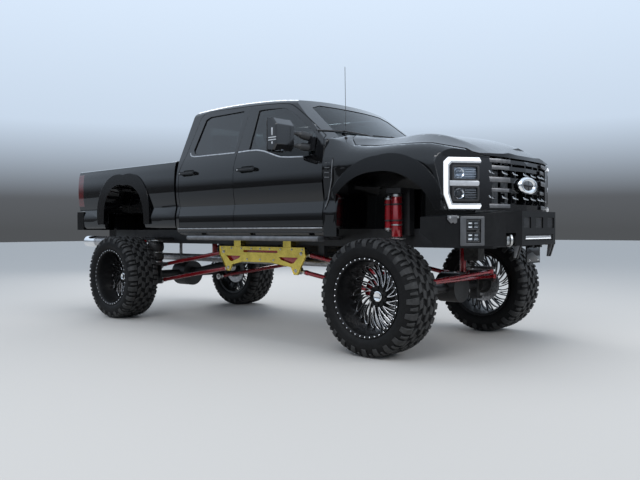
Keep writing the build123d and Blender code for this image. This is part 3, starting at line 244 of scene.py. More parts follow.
def makeFinish(name, color, rough, metal=0.0, spec=0.5, coat=0.0, coatRough=0.03, coatIor=1.5, sheen=0.0,
               cloud=(10, 0.1), grain=None, edge=0.0, dust=None, glow=None):
    material = bpy.data.materials.new(name)
    make, link = nodeTree(material)
    shader, out = make("ShaderNodeBsdfPrincipled"), make("ShaderNodeOutputMaterial")
    link(shader.outputs[0], out.inputs[0])
    place = make("ShaderNodeTexCoord").outputs["Object"]
    share = spreadNoise(make, link, place, cloud[0], 0, 1)
    dark = tuple(c * (1 - cloud[1]) for c in color) + (1,)
    pale = tuple(min(1, c * (1 + cloud[1])) for c in color) + (1,)
    shown = mixColor(make, link, share, dark, pale)
    if dust:
        dustColor, amount, top = dust
        parts = make("ShaderNodeSeparateXYZ")
        link(place, parts.inputs[0])
        low = mapRange(make, link, parts.outputs[2], 0.1, top, amount, 0)
        patchy = make("ShaderNodeMath")
        patchy.operation = "MULTIPLY"
        link(low, patchy.inputs[0])
        link(addNoise(make, link, place, 34, 6.0), patchy.inputs[1])
        shown = mixColor(make, link, patchy.outputs[0], shown, (*dustColor, 1))
    link(shown, shader.inputs["Base Color"])
    lowRough, highRough = max(0.02, rough * roughSpan[0]), min(1, rough * roughSpan[1])
    link(spreadNoise(make, link, place, cloud[0] * 4 + 8, lowRough, highRough, 4.0),
         shader.inputs["Roughness"])
    shader.inputs["Metallic"].default_value = metal
    shader.inputs["Specular IOR Level"].default_value = spec
    shader.inputs["Coat Weight"].default_value = coat
    shader.inputs["Coat Roughness"].default_value = coatRough
    shader.inputs["Coat IOR"].default_value = coatIor
    shader.inputs["Sheen Weight"].default_value = sheen
    normal = None
    if edge:
        worn = make("ShaderNodeBevel")
        worn.samples = 4
        worn.inputs[0].default_value = edge
        normal = worn.outputs[0]
    if grain:
        bump = make("ShaderNodeBump")
        bump.inputs["Strength"].default_value = 0.6
        bump.inputs["Distance"].default_value = grain[1]
        link(addNoise(make, link, place, grain[0], 2.0), bump.inputs["Height"])
        if normal:
            link(normal, bump.inputs["Normal"])
        normal = bump.outputs[0]
    if normal:
        link(normal, shader.inputs["Normal"])
        if edge:
            link(worn.outputs[0], shader.inputs["Coat Normal"])
    if glow:
        shader.inputs["Emission Color"].default_value = (*glow[0], 1)
        shader.inputs["Emission Strength"].default_value = glow[1]
    return material


def makeClear(name, tint, rough, index):
    material = bpy.data.materials.new(name)
    make, link = nodeTree(material)
    shader, out = make("ShaderNodeBsdfPrincipled"), make("ShaderNodeOutputMaterial")
    link(shader.outputs[0], out.inputs[0])
    place = make("ShaderNodeTexCoord").outputs["Object"]
    dark = tuple(c * 0.93 for c in tint) + (1,)
    pale = tuple(min(1, c * 1.07) for c in tint) + (1,)
    link(mixColor(make, link, addNoise(make, link, place, 2.0), dark, pale), shader.inputs["Base Color"])
    link(spreadNoise(make, link, place, 9.0, rough * 0.6, rough * 1.4), shader.inputs["Roughness"])
    shader.inputs["Transmission Weight"].default_value = 1.0
    shader.inputs["IOR"].default_value = index
    return material


for name, setting in finishes.items():
    stock[name] = makeFinish(name, **setting)
for name, (tint, rough, index) in clearFinishes.items():
    stock[name] = makeClear(name, tint, rough, index)
print("finishes ready:", len(stock))

# Finish and material slot of every CAD node
fourCorners = ("front_left", "front_right", "rear_left", "rear_right")
nodesOf = {
    "paintBlack": ("cab_shell", "bed", "tailgate", "bonnet", "front_fenders",
                   *("door_" + corner for corner in fourCorners), "rear_bumper"),
    "frameBlack": ("frame_rails", "crossmembers", "spring_seats", "shock_towers", "hitch", "front_axle",
                   "rear_axle", "driveshafts"),
    "bumperBlack": ("front_bumper",),
    "wheelBlack": tuple("rim_" + corner for corner in fourCorners),
    "rubberSide": tuple("tyre_" + corner for corner in fourCorners),
    "castIron": ("steering_box", "knuckle_left", "knuckle_right", "pitman_arm", "powertrain"),
    "redCoat": ("steering_rods", "suspension_links"),
    "redBright": ("shock_absorbers",),
    "goldPlate": ("link_brackets",),
    "bellows": ("air_springs",),
    "plasticGloss": ("headlamps", "grille", "mirror_left", "mirror_right"),
    "plasticBlack": ("bumper_lamps", "antenna", "dashboard", "steering_wheel", "fuel_tank"),
    "lampRed": ("tail_lamps",),
    "stepGrey": ("side_steps",),
    "clothDark": ("seats",),
    "alloy": ("radiator", "exhaust"),
    "glassScreen": ("cab_glass",),
    "glassFront": ("glass_front_left", "glass_front_right"),
    "glassRear": ("glass_rear_left", "glass_rear_right"),
}
nodeFinish = {node: finish for finish, nodes in nodesOf.items() for node in nodes}
bodyOf = {node: body for body, nodes in frame["record"]["behaviour"]["bodies"].items() for node in nodes}
for node, item in frame["nodes"].items():
    item.data.materials.clear()
    item.data.materials.append(stock[nodeFinish[node]])


# A finished bmesh becomes a piece on its body
def putPiece(name, shape, body, materials, replaced=(), smooth=None):
    data = bpy.data.meshes.new(name)
    if smooth is not None:
        for face in shape.faces:
            face.smooth = True
        for edge in shape.edges:
            if len(edge.link_faces) == 2:
                edge.smooth = edge.calc_face_angle(0) < math.radians(smooth)
    shape.to_mesh(data)
    shape.free()
    piece = bpy.data.objects.new(name, data)
    for material in materials:
        data.materials.append(stock[material])
    scene.collection.objects.link(piece)
    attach(piece, body)
    if replaced:
        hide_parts(*replaced)
    return piece


# Edges bent past this many degrees stay sharp
panelSharp, fenderSharp = 26, 44


# Panels keep the CAD surface, merged and shaded smooth between their edges
def dressPanel(node, sharp=panelSharp, merge=True, change=None):
    shape = bmesh.new()
    shape.from_mesh(frame["nodes"][node].data)
    bmesh.ops.remove_doubles(shape, verts=shape.verts, dist=0.00002)
    if merge:
        bmesh.ops.dissolve_limit(shape, angle_limit=math.radians(0.15), verts=shape.verts,
                                 edges=shape.edges)
    if change:
        change(shape)
    piece = putPiece(node + "_skin", shape, bodyOf[node], (nodeFinish[node],), (node,), sharp)
    weigh = piece.modifiers.new("weigh", "WEIGHTED_NORMAL")
    weigh.keep_sharp = True


for node in nodesOf["paintBlack"]:
    sharp = fenderSharp if node == "front_fenders" else panelSharp
    dressPanel(node, sharp, merge=node != "rear_bumper")

# The lamp pockets of the front bumper, seen from the right side
pocketSet = {
    "middle": (2.9605, 0.798, 1.088),
    "across": (-0.392, 0.92, 0),
    "halfWide": 0.076,
    "halfHigh": 0.098,
    "near": 0.001,  # a point this near the skin's plane lies on it
}


def openPockets(shape):
    for side in (1, -1):
        turn = Vector((1, side, 1))
        middle, across = Vector(pocketSet["middle"]) * turn, (Vector(pocketSet["across"]) * turn).normalized()
        up = Vector((0, 0, 1))
        out = across.cross(up) * side

        def onSkin():
            return [face for face in shape.faces if abs(face.normal.dot(out)) > 0.99
                    and abs((face.calc_center_median() - middle).dot(out)) < pocketSet["near"]]

        for axis, reach in ((across, pocketSet["halfWide"]), (up, pocketSet["halfHigh"])):
            for way in (1, -1):
                skin = onSkin()
                parts = {item for face in skin for item in list(face.verts) + list(face.edges)}
                bmesh.ops.bisect_plane(shape, geom=skin + list(parts), plane_co=middle + axis * reach * way,
                                       plane_no=axis, dist=0.000001)
        lid = [face for face in onSkin()
               if abs((face.calc_center_median() - middle).dot(across)) < pocketSet["halfWide"]
               and abs((face.calc_center_median() - middle).dot(up)) < pocketSet["halfHigh"]]
        bmesh.ops.delete(shape, geom=lid, context="FACES")
        rim = [vert for vert in shape.verts if abs((vert.co - middle).dot(out)) < pocketSet["near"]]
        bmesh.ops.remove_doubles(shape, verts=rim, dist=0.0003)


dressPanel("front_bumper", merge=False, change=openPockets)
print("panels dressed")

# Wheels: w runs outward from the wheel's middle plane and r is the radius, in metres
frontAxleX, rearAxleX = 2.140, -1.920
wheelHeight, wheelOut = 0.516, 1.011
wheelPlaces = (
    # name, axle x, side
    ("front_left", frontAxleX, 1), ("front_right", frontAxleX, -1),
    ("rear_left", rearAxleX, 1), ("rear_right", rearAxleX, -1),
)


def paint(shape, finish):
    for face in shape.faces:
        face.material_index = finish
    return shape


def turnShape(shape, angle, axis="Y"):
    bmesh.ops.rotate(shape, verts=shape.verts, cent=(0, 0, 0), matrix=Matrix.Rotation(angle, 3, axis))
    return shape


# Mirrors a shape to the truck's other side
def flip(shape):
    bmesh.ops.scale(shape, verts=shape.verts, vec=(1, -1, 1))
    bmesh.ops.reverse_faces(shape, faces=shape.faces)
    return shape


# A profile of (w, r) points turned about the axle
def spinProfile(points, steps=96, closed=False, finish=0):
    shape = bmesh.new()
    verts = [shape.verts.new((0, w, r)) for w, r in points]
    edges = [shape.edges.new(pair) for pair in zip(verts, verts[1:])]
    if closed:
        edges.append(shape.edges.new((verts[-1], verts[0])))
    bmesh.ops.spin(shape, geom=verts + edges, cent=(0, 0, 0), axis=(0, 1, 0), dvec=(0, 0, 0),
                   angle=math.tau, steps=steps, use_merge=True, use_duplicate=False)
    bmesh.ops.remove_doubles(shape, verts=shape.verts, dist=0.000005)
    bmesh.ops.recalc_face_normals(shape, faces=shape.faces)
    return paint(shape, finish)


# Copies set evenly round the axle
def ringOf(shape, count):
    bmesh.ops.spin(shape, geom=shape.verts[:] + shape.edges[:] + shape.faces[:], cent=(0, 0, 0),
                   axis=(0, 1, 0), dvec=(0, 0, 0), angle=math.tau * (count - 1) / count, steps=count - 1,
                   use_merge=False, use_duplicate=True)
    return shape


# Adds one bmesh to another and frees it
def addTo(whole, extra, finish=None):
    if finish is not None:
        paint(extra, finish)
    data = bpy.data.meshes.new("part")
    extra.to_mesh(data)
    extra.free()
    whole.from_mesh(data)
    bpy.data.meshes.remove(data)
    return whole


def cutBlock(sizeX, sizeY, sizeZ, place=(0, 0, 0), soft=0.0, segments=1):
    shape = bmesh.new()
    bmesh.ops.create_cube(shape, size=1)
    bmesh.ops.scale(shape, verts=shape.verts, vec=(sizeX, sizeY, sizeZ))
    if soft:
        bmesh.ops.bevel(shape, geom=shape.edges[:], offset=soft, segments=segments, profile=0.5,
                        affect="EDGES", material=-1)
    bmesh.ops.translate(shape, verts=shape.verts, vec=place)
    return shape


tyreShape = {
    "steps": 120,
    "carcass": ((0.1675, 0.3303), (0.1705, 0.352), (0.1835, 0.3545), (0.1905, 0.362), (0.1935, 0.372),
                (0.1955, 0.374), (0.2005, 0.400), (0.2020, 0.426), (0.2005, 0.440), (0.1935, 0.452),
                (0.1885, 0.470), (0.180, 0.485), (0.160, 0.4935), (0.110, 0.4970), (0.0, 0.4980)),
    "skin": ((0.0, 0.5155), (0.090, 0.5145), (0.150, 0.5110), (0.172, 0.5070), (0.1885, 0.4970),
             (0.1975, 0.4830), (0.2025, 0.4600), (0.2040, 0.4400), (0.2030, 0.4200)),
    "pitches": 24,
    "lugDepth": 0.0185,
    "crestAngle": 0.6,  # radians past which a lug's upper edge is softened
    # low u, high u, width at each end, how far round it starts, slant, soft edge
    "lugs": (
        (0.112, 0.252, 0.064, 0.050, 0.000, 0.06, 0.0045),
        (0.124, 0.212, 0.034, 0.022, 0.067, 0.06, 0.0040),
        (0.057, 0.104, 0.084, 0.070, 0.026, 0.50, 0.0040),
        (0.006, 0.050, 0.074, 0.086, 0.083, -0.45, 0.0040),
    ),
}


# Point at length u along the tread's skin and its outward direction, both as (w, r)
def alongSkin(skin, u):
    for (w0, r0), (w1, r1) in zip(skin, skin[1:]):
        run = math.hypot(w1 - w0, r1 - r0)
        if u <= run or (w1, r1) == skin[-1]:
            share = u / run
            return (w0 + (w1 - w0) * share, r0 + (r1 - r0) * share), (-(r1 - r0) / run, (w1 - w0) / run)
        u -= run


def makeLug(setting, low, high, lowWide, highWide, start, slant, soft):
    skin, depth = setting["skin"], setting["lugDepth"]
    shape = cutBlock(1, 1, 1)
    along = [e for e in shape.edges if abs(e.verts[0].co.x - e.verts[1].co.x) > 0.5]
    bmesh.ops.subdivide_edges(shape, edges=along, cuts=5)
    for vert in shape.verts:
        share = vert.co.x + 0.5
        wide = lowWide + (highWide - lowWide) * share
        aroundIt = vert.co.y * wide + slant * (share - 0.5) * (high - low)
        vert.co = Vector((low + (high - low) * share, aroundIt, vert.co.z * depth))
    upper = [e for e in shape.edges if min(v.co.z for v in e.verts) > 0 and len(e.link_faces) == 2]
    crest = [e for e in upper if e.calc_face_angle(0) > setting["crestAngle"]]
    bmesh.ops.bevel(shape, geom=crest, offset=soft, segments=1, profile=0.5, affect="EDGES", material=-1)
    for vert in shape.verts:
        (w, r), (outW, outR) = alongSkin(skin, vert.co.x)
        sunk = depth / 2 - vert.co.z
        turn = (start + vert.co.y) / wheelHeight
        w, r = w - outW * sunk, r - outR * sunk
        vert.co = Vector((r * math.sin(turn), w, r * math.cos(turn)))
    return ringOf(shape, setting["pitches"])


def makeTyre(setting):
    half = list(setting["carcass"])
    points = [(-w, r) for w, r in half] + half[-2::-1]
    whole = spinProfile(points, setting["steps"])
    for lug in setting["lugs"]:
        for side in (1, -1):
            blocks = makeLug(setting, *lug)
            if side < 0:
                turnShape(flip(blocks), math.pi / setting["pitches"])
            addTo(whole, blocks, 1)
    return whole


rimShape = {
    "barrel": ((0.187, 0.349), (0.171, 0.349), (0.170, 0.330), (0.125, 0.330), (0.105, 0.312),
               (-0.105, 0.312), (-0.125, 0.330), (-0.170, 0.330), (-0.171, 0.349), (-0.187, 0.349),
               (-0.187, 0.341), (-0.179, 0.323), (-0.150, 0.318), (-0.105, 0.302), (0.040, 0.302),
               (0.098, 0.302), (0.150, 0.312), (0.176, 0.320), (0.1835, 0.324), (0.1860, 0.327),
               (0.187, 0.331)),
    "hub": ((-0.101, 0.0405), (-0.101, 0.080), (-0.060, 0.095), (-0.012, 0.095), (-0.0062, 0.090),
            (-0.006, 0.058), (-0.012, 0.054), (-0.012, 0.049)),
    "cap": ((-0.012, 0.049), (0.002, 0.049), (0.006, 0.046), (0.008, 0.038), (0.0068, 0.036),
            (0.0068, 0.0)),
    "rivets": 40,
    "rivetSize": 0.0062,
    "rivetAt": (0, 0.187, 0.338),
    "nuts": 8,
    "nutSize": (0.0125, 0.010, 0.020),  # radius at the foot and at the top, length
    "nutAt": (0, -0.004, 0.074),
    "leafSegments": 30,
    "leafWidths": (0.30, 0.78),  # share of the half width at the hub, and what it gains outwards
    "leafSoft": 0.0012,
    "dish": 0.016,  # how much deeper a leaf's outer end lies
    "petals": 12,
    # inner r, outer r, half width, lean in degrees, start in degrees, face w, bar depth, bar width
    "loops": ((0.088, 0.303, 0.043, -31, 0.0, -0.010, 0.030, 0.0090),
              (0.176, 0.302, 0.024, -16, 1.6, -0.022, 0.026, 0.0070)),
}


# One closed leaf of a spoke, narrow at the hub, leaning round as it goes out
def makeLoop(setting, inner, outer, halfWidth, lean, start, face, depth, barWidth):
    shape = bmesh.new()
    bmesh.ops.create_circle(shape, cap_ends=False, segments=setting["leafSegments"], radius=1)
    hubShare, gain = setting["leafWidths"]
    for vert in shape.verts:
        share = (1 + vert.co.x) / 2
        radius = inner + (outer - inner) * share
        across = vert.co.y * halfWidth * (hubShare + gain * share)
        turn = math.radians(start + lean * share ** 0.9) + across / radius
        vert.co = Vector((radius * math.sin(turn), face - setting["dish"] * share, radius * math.cos(turn)))
    ribbon = bmesh.ops.extrude_edge_only(shape, edges=shape.edges)
    back = [item for item in ribbon["geom"] if isinstance(item, bmesh.types.BMVert)]
    bmesh.ops.translate(shape, verts=back, vec=(0, -depth, 0))
    bmesh.ops.recalc_face_normals(shape, faces=shape.faces)
    bmesh.ops.solidify(shape, geom=shape.faces[:], thickness=barWidth)
    bmesh.ops.recalc_face_normals(shape, faces=shape.faces)
    sharp = [e for e in shape.edges if len(e.link_faces) == 2 and e.calc_face_angle(0) > 1.0]
    rims = [e for e in sharp if min(v.co.y for v in e.verts) > face - 0.03]
    bmesh.ops.bevel(shape, geom=rims, offset=setting["leafSoft"], segments=1, profile=0.5, affect="EDGES",
                    material=-1)
    for side in shape.faces:
        side.material_index = 1 if side.normal.y > 0.6 else 0
    return shape


def makeRim(setting):
    whole = spinProfile(setting["barrel"], 120, closed=True)
    addTo(whole, spinProfile(setting["hub"], 64), 0)
    addTo(whole, spinProfile(setting["cap"], 48), 2)
    for loop in setting["loops"]:
        addTo(whole, ringOf(makeLoop(setting, *loop), setting["petals"]))
    rivet = bmesh.new()
    bmesh.ops.create_uvsphere(rivet, u_segments=10, v_segments=6, radius=setting["rivetSize"])
    bmesh.ops.scale(rivet, verts=rivet.verts, vec=(1, 0.6, 1))
    bmesh.ops.translate(rivet, verts=rivet.verts, vec=setting["rivetAt"])
    addTo(whole, ringOf(rivet, setting["rivets"]), 1)
    nut = bmesh.new()
    foot, top, long = setting["nutSize"]
    bmesh.ops.create_cone(nut, cap_ends=True, segments=6, radius1=foot, radius2=top, depth=long)
    turnShape(nut, -math.pi / 2, "X")
    bmesh.ops.translate(nut, verts=nut.verts, vec=setting["nutAt"])
    addTo(whole, ringOf(nut, setting["nuts"]), 0)
    return whole


# Sets a wheel shape made at the origin, facing left, on its own wheel
def placeWheel(shape, axleX, side):
    copy = shape.copy()
    if side < 0:
        flip(copy)
    bmesh.ops.translate(copy, verts=copy.verts, vec=(axleX, side * wheelOut, wheelHeight))
    return copy


tyreModel, rimModel = makeTyre(tyreShape), makeRim(rimShape)
for name, axleX, side in wheelPlaces:
    putPiece("tread_tyre_" + name, placeWheel(tyreModel, axleX, side), "wheel_" + name,
             ("rubberSide", "rubberTread"), ("tyre_" + name,), 35)
    putPiece("dish_rim_" + name, placeWheel(rimModel, axleX, side), "wheel_" + name,
             ("wheelBlack", "milled", "chrome"), ("rim_" + name,), 32)
tyreModel.free()
rimModel.free()
print("wheels made")

# Turns a profile of (along, radius) pairs about the line that leaves start towards aim
def lathe(start, aim, points, steps=32, finish=0, closed=False):
    shape = spinProfile(points, steps, closed, finish)
    turn = Vector((0, 1, 0)).rotation_difference(Vector(aim) - Vector(start)).to_matrix().to_4x4()
    bmesh.ops.transform(shape, matrix=Matrix.Translation(start) @ turn, verts=shape.verts)
    return shape


# A round bar with soft ends
def rod(start, end, radius, steps=24, soft=0.002, finish=0):
    long = (Vector(end) - Vector(start)).length
    ends = ((0, 0), (0, radius - soft), (soft, radius), (long - soft, radius), (long, radius - soft),
            (long, 0))
    return lathe(start, end, ends, steps, finish)


# Planes that outlines lie on, as their across and up directions, named for the way they face
toRight, toLeft = ((1, 0, 0), (0, 0, 1)), ((-1, 0, 0), (0, 0, 1))
toFront, toBack = ((0, 1, 0), (0, 0, 1)), ((0, -1, 0), (0, 0, 1))
toUp, toDown = ((1, 0, 0), (0, 1, 0)), ((1, 0, 0), (0, -1, 0))


# An outline of (u, v) corners on a plane, with or without a hole of as many corners, thick outwards
def slab(outline, origin, across, up, thick, soft=0.0, finish=0, hole=None):
    across, up = Vector(across).normalized(), Vector(up).normalized()
    shape = bmesh.new()
    loops = []
    for corners in (outline, hole) if hole else (outline,):
        verts = [shape.verts.new(Vector(origin) + across * u + up * v) for u, v in corners]
        loops += [shape.edges.new(pair) for pair in zip(verts, verts[1:] + verts[:1])]
    faces = bmesh.ops.bridge_loops(shape, edges=loops)["faces"] if hole else [shape.faces.new(verts)]
    grown = bmesh.ops.extrude_face_region(shape, geom=faces)["geom"]
    bmesh.ops.translate(shape, verts=[item for item in grown if isinstance(item, bmesh.types.BMVert)],
                        vec=across.cross(up) * thick)
    bmesh.ops.recalc_face_normals(shape, faces=shape.faces)
    if soft:
        sharp = [edge for edge in shape.edges if edge.calc_face_angle(0) > 0.25]
        bmesh.ops.bevel(shape, geom=sharp, offset=soft, segments=2, profile=0.5, affect="EDGES",
                        material=-1)
    return paint(shape, finish)


# A round tube through points
def tube(points, radius, steps=14, finish=0):
    shape = bmesh.new()
    spots = [Vector(point) for point in points]
    rings = []
    for i, spot in enumerate(spots):
        run = (spots[min(i + 1, len(spots) - 1)] - spots[max(i - 1, 0)]).normalized()
        turn = Vector((0, 0, 1)).rotation_difference(run).to_matrix().to_4x4()
        made = bmesh.ops.create_circle(shape, cap_ends=i in (0, len(spots) - 1), segments=steps,
                                       radius=radius, matrix=Matrix.Translation(spot) @ turn)
        rings.append(set(made["verts"]))
    for low, high in zip(rings, rings[1:]):
        loops = [edge for edge in shape.edges if set(edge.verts) <= low or set(edge.verts) <= high]
        bmesh.ops.bridge_loops(shape, edges=loops)
    bmesh.ops.recalc_face_normals(shape, faces=shape.faces)
    return paint(shape, finish)


def gather(*shapes):
    whole = shapes[0]
    for extra in shapes[1:]:
        addTo(whole, extra)
    return whole


# The mirror image on the truck's other side, alone or together with the shape
def otherSide(shape):
    return flip(shape.copy())


def bothSides(shape):
    return addTo(shape, otherSide(shape))


# A piece made for the left side, and its mirror image on the right
def putPair(stem, shape, body, materials, smooth=35):
    putPiece(stem + "_right", otherSide(shape), body + "_right", materials, smooth=smooth)
    putPiece(stem + "_left", shape, body + "_left", materials, smooth=smooth)


# A bolt head with its washer, standing on a face
def bolt(place, out, radius, finish=0):
    head = ((0, 0), (0, 1.5), (0.18, 1.5), (0.22, 1.0), (0.95, 1.0), (1.1, 0.8), (1.1, 0))
    profile = [(w * radius, r * radius) for w, r in head]
    return lathe(place, Vector(place) + Vector(out), profile, 12, finish)


def roundedPane(halfWide, halfHigh, corner, middle=(0, 0), turns=4):
    corners = []
    for sideU, sideV, start in ((1, 1, 0), (-1, 1, 90), (-1, -1, 180), (1, -1, 270)):
        for i in range(turns + 1):
            angle = math.radians(start + 90 * i / turns)
            corners.append((middle[0] + sideU * (halfWide - corner) + corner * math.cos(angle),
                            middle[1] + sideV * (halfHigh - corner) + corner * math.sin(angle)))
    return corners


noseX = 3.170
lampSet = {
    "origin": (noseX - 0.315, 0.810, 1.483),
    "across": (-0.190, 0.260, 0),
    "guide": ((-0.158, 0.216), (-0.176, 0.184), (0.092, 0.184), (0.122, 0.152), (0.122, -0.080),
              (0.090, -0.180), (-0.178, -0.180), (-0.162, -0.212), (0.112, -0.212), (0.159, -0.092),
              (0.159, 0.178), (0.120, 0.216)),
    "guideEdge": ((-0.176, 0.184), (-0.170, 0.170), (0.086, 0.170), (0.108, 0.147), (0.108, -0.078),
                  (0.080, -0.166), (-0.170, -0.166), (-0.178, -0.180), (0.090, -0.180), (0.122, -0.080),
                  (0.122, 0.152), (0.092, 0.184)),
    "middleBar": ((-0.158, -0.010), (-0.150, -0.020), (0.104, -0.020), (0.104, 0.024), (-0.150, 0.024),
                  (-0.158, 0.014)),
    "lensHalf": (0.107, 0.053),
    # middle u, middle v, finish of the back
    "lensAt": ((-0.038, 0.088, 7), (-0.038, -0.084, 5)),
    "bowl": ((0.0, 0.030), (0.008, 0.036), (0.013, 0.042), (0.013, 0.045), (0.0, 0.045)),
    "dome": ((0, 0), (0, 0.031), (0.006, 0.027), (0.011, 0.016), (0.0125, 0)),
    "marker": ((0, 0), (0, 0.010), (0.004, 0.009), (0.006, 0.006), (0.0065, 0)),
    "fins": 4,
    "finPitch": 0.020,
}


def makeHeadlamp(setting):
    across, up = Vector(setting["across"]).normalized(), Vector((0, 0, 1))
    out = across.cross(up)
    origin = Vector(setting["origin"])

    def plate(outline, depth, thick, soft=0.0, finish=0, hole=None):
        return slab(outline, origin + out * depth, across, up, thick, soft, finish, hole)

    whole = plate(setting["guide"], -0.002, 0.012, 0.0035, 0)
    addTo(whole, plate(setting["guideEdge"], -0.002, 0.007, 0.0012, 1))
    addTo(whole, plate(setting["middleBar"], -0.002, 0.009, 0.003, 1))
    halfWide, halfHigh = setting["lensHalf"]
    for u, v, backFinish in setting["lensAt"]:
        back = roundedPane(halfWide, halfHigh, 0.012, (u, v))
        lens = roundedPane(halfWide - 0.002, halfHigh - 0.002, 0.012, (u, v))
        bezel = roundedPane(halfWide + 0.014, halfHigh + 0.012, 0.020, (u, v))
        opening = roundedPane(halfWide - 0.004, halfHigh - 0.004, 0.012, (u, v))
        addTo(whole, plate(back, -0.0255, 0.002, 0, backFinish))
        addTo(whole, plate(lens, -0.007, 0.002, 0, 2))
        addTo(whole, plate(bezel, -0.001, 0.005, 0.0015, 4, opening))
        bowl = origin + across * (u + 0.052) + up * v + out * -0.0235
        addTo(whole, lathe(bowl, bowl + out, setting["bowl"], 40, 3, True))
        addTo(whole, lathe(bowl, bowl + out, setting["dome"], 40, 2))
        for step in range(setting["fins"]):
            fin = roundedPane(0.050, 0.0035, 0.002, (u - 0.048, v + 0.030 - step * setting["finPitch"]), 1)
            addTo(whole, plate(fin, -0.0235, 0.012, 0, 3))
    mark = origin + across * 0.176 + up * 0.002 + out * -0.010
    addTo(whole, lathe(mark, mark + out, setting["marker"], 20, 6))
    return whole


putPiece("headlamp_lights", bothSides(makeHeadlamp(lampSet)), "chassis",
         ("lampWhite", "lampGrey", "lensClear", "chrome", "plasticBlack", "plasticGrey", "amber",
          "lampBlue"), smooth=35)

grilleSet = {
    # middle z, height, how far the bar behind stands out
    "steps": ((1.686, 0.030, 0.0), (1.629, 0.032, -0.010), (1.5255, 0.042, 0.0), (1.437, 0.030, -0.010),
              (1.300, 0.034, 0.0)),
    "tickRows": (1.583, 1.372),
    "ticks": (0.0, 0.182, 0.355, 0.520),
    "tick": ((-0.060, 0.016), (-0.052, 0.003), (-0.042, -0.004), (0.050, -0.012), (0.054, -0.003),
             (-0.038, 0.007), (-0.048, 0.016)),
    "front": ((0.0, -0.120), (0.400, -0.148), (0.660, -0.218)),
    "oval": ((0.0, 0.098), (0.012, 0.102), (0.021, 0.122), (0.024, 0.148), (0.019, 0.172), (0.009, 0.187),
             (0.0, 0.188)),
    "face": ((0, 0), (0, 0.102), (0.012, 0.102), (0.014, 0.096), (0.016, 0)),
    "flat": 0.42,  # height of the oval against its width
}


# How far back the grille's bars stand at this distance from the middle
def grilleFront(y):
    for (y0, x0), (y1, x1) in zip(grilleSet["front"], grilleSet["front"][1:]):
        if y0 <= abs(y) <= y1:
            return noseX + x0 + (x1 - x0) * (abs(y) - y0) / (y1 - y0)


def makeGrilleTrim(setting):
    whole = bmesh.new()
    for z, high, out in setting["steps"]:
        outline = ((-0.136, -high / 2), (0.118, -high / 2), (0.124, high / 2), (-0.136, high / 2))
        spot = (noseX - 0.163 + out, 0.445, z)
        addTo(whole, bothSides(slab(outline, spot, (-0.070, 0.260, 0), (0, 0, 1), 0.005, 0.0015, 0)))
    for z in setting["tickRows"]:
        for y in setting["ticks"]:
            for side in (1, -1) if y else (1,):
                front = grilleFront(y)
                addTo(whole, slab(setting["tick"], (front - 0.010, side * y, z), *toFront, 0.005, 0.001, 1))
                addTo(whole, cutBlock(0.050, 0.012, 0.078, (front - 0.0345, side * y, z), 0.002), 2)
    ring = lathe((0, 0, 0), (1, 0, 0), setting["oval"], 72, 1, True)
    face = lathe((0, 0, 0), (1, 0, 0), setting["face"], 72, 2)
    for shape in (ring, face):
        bmesh.ops.scale(shape, verts=shape.verts, vec=(1, 1, setting["flat"]))
        bmesh.ops.translate(shape, verts=shape.verts, vec=(noseX - 0.116, 0, 1.490))
        addTo(whole, shape)
    return whole


putPiece("grille_trim", makeGrilleTrim(grilleSet), "chassis",
         ("stepGrey", "chrome", "plasticGloss"), smooth=35)
print("front lamps and grille made")

bumperSet = {
    "lampFace": ((noseX - 0.2095, 0.798, 1.088), (-0.392, 0.92, 0)),
    "hookFace": ((noseX - 0.0625, 0.424, 1.005), (-0.065, 0.092, 0)),
    "cubes": (0.049, -0.049),
    "barHalf": 0.272,
    "barZ": 1.030,
    "barCells": 12,
    "windows": ((0.0, 0.074), (0.242, 0.068), (-0.242, 0.068)),  # middle y, half width
    "windowRibs": 5,
    "ribPitch": 0.021,
    # out from the face, up
    "hookPath": ((-0.058, 0.046), (-0.020, 0.046), (0.000, 0.040), (0.012, 0.022), (0.014, 0.000),
                 (0.008, -0.022), (-0.006, -0.036), (-0.026, -0.042), (-0.058, -0.042)),
    "hookPlate": ((0, 0), (0, 0.040), (0.006, 0.040), (0.008, 0.034), (0.008, 0)),
    "strut": ((-0.060, 1.006), (-0.015, 1.006), (-0.017, 0.966), (-0.051, 0.856), (-0.075, 0.856)),
    "strutY": (0.3535, 0.3295),
    # scalloped tab on the upper edge beside the lamp
    "tab": ((-0.062, 0.030), (-0.062, -0.004), (-0.044, -0.022), (-0.028, -0.036), (-0.010, -0.026),
            (0.006, -0.038), (0.024, -0.030), (0.040, -0.006), (0.052, 0.004), (0.056, 0.030)),
    "tabLine": (0.46, -0.888, 0),
    "plateBolts": ((0.085, 0.945), (0.085, 0.826), (-0.085, 0.945), (-0.085, 0.826)),
}


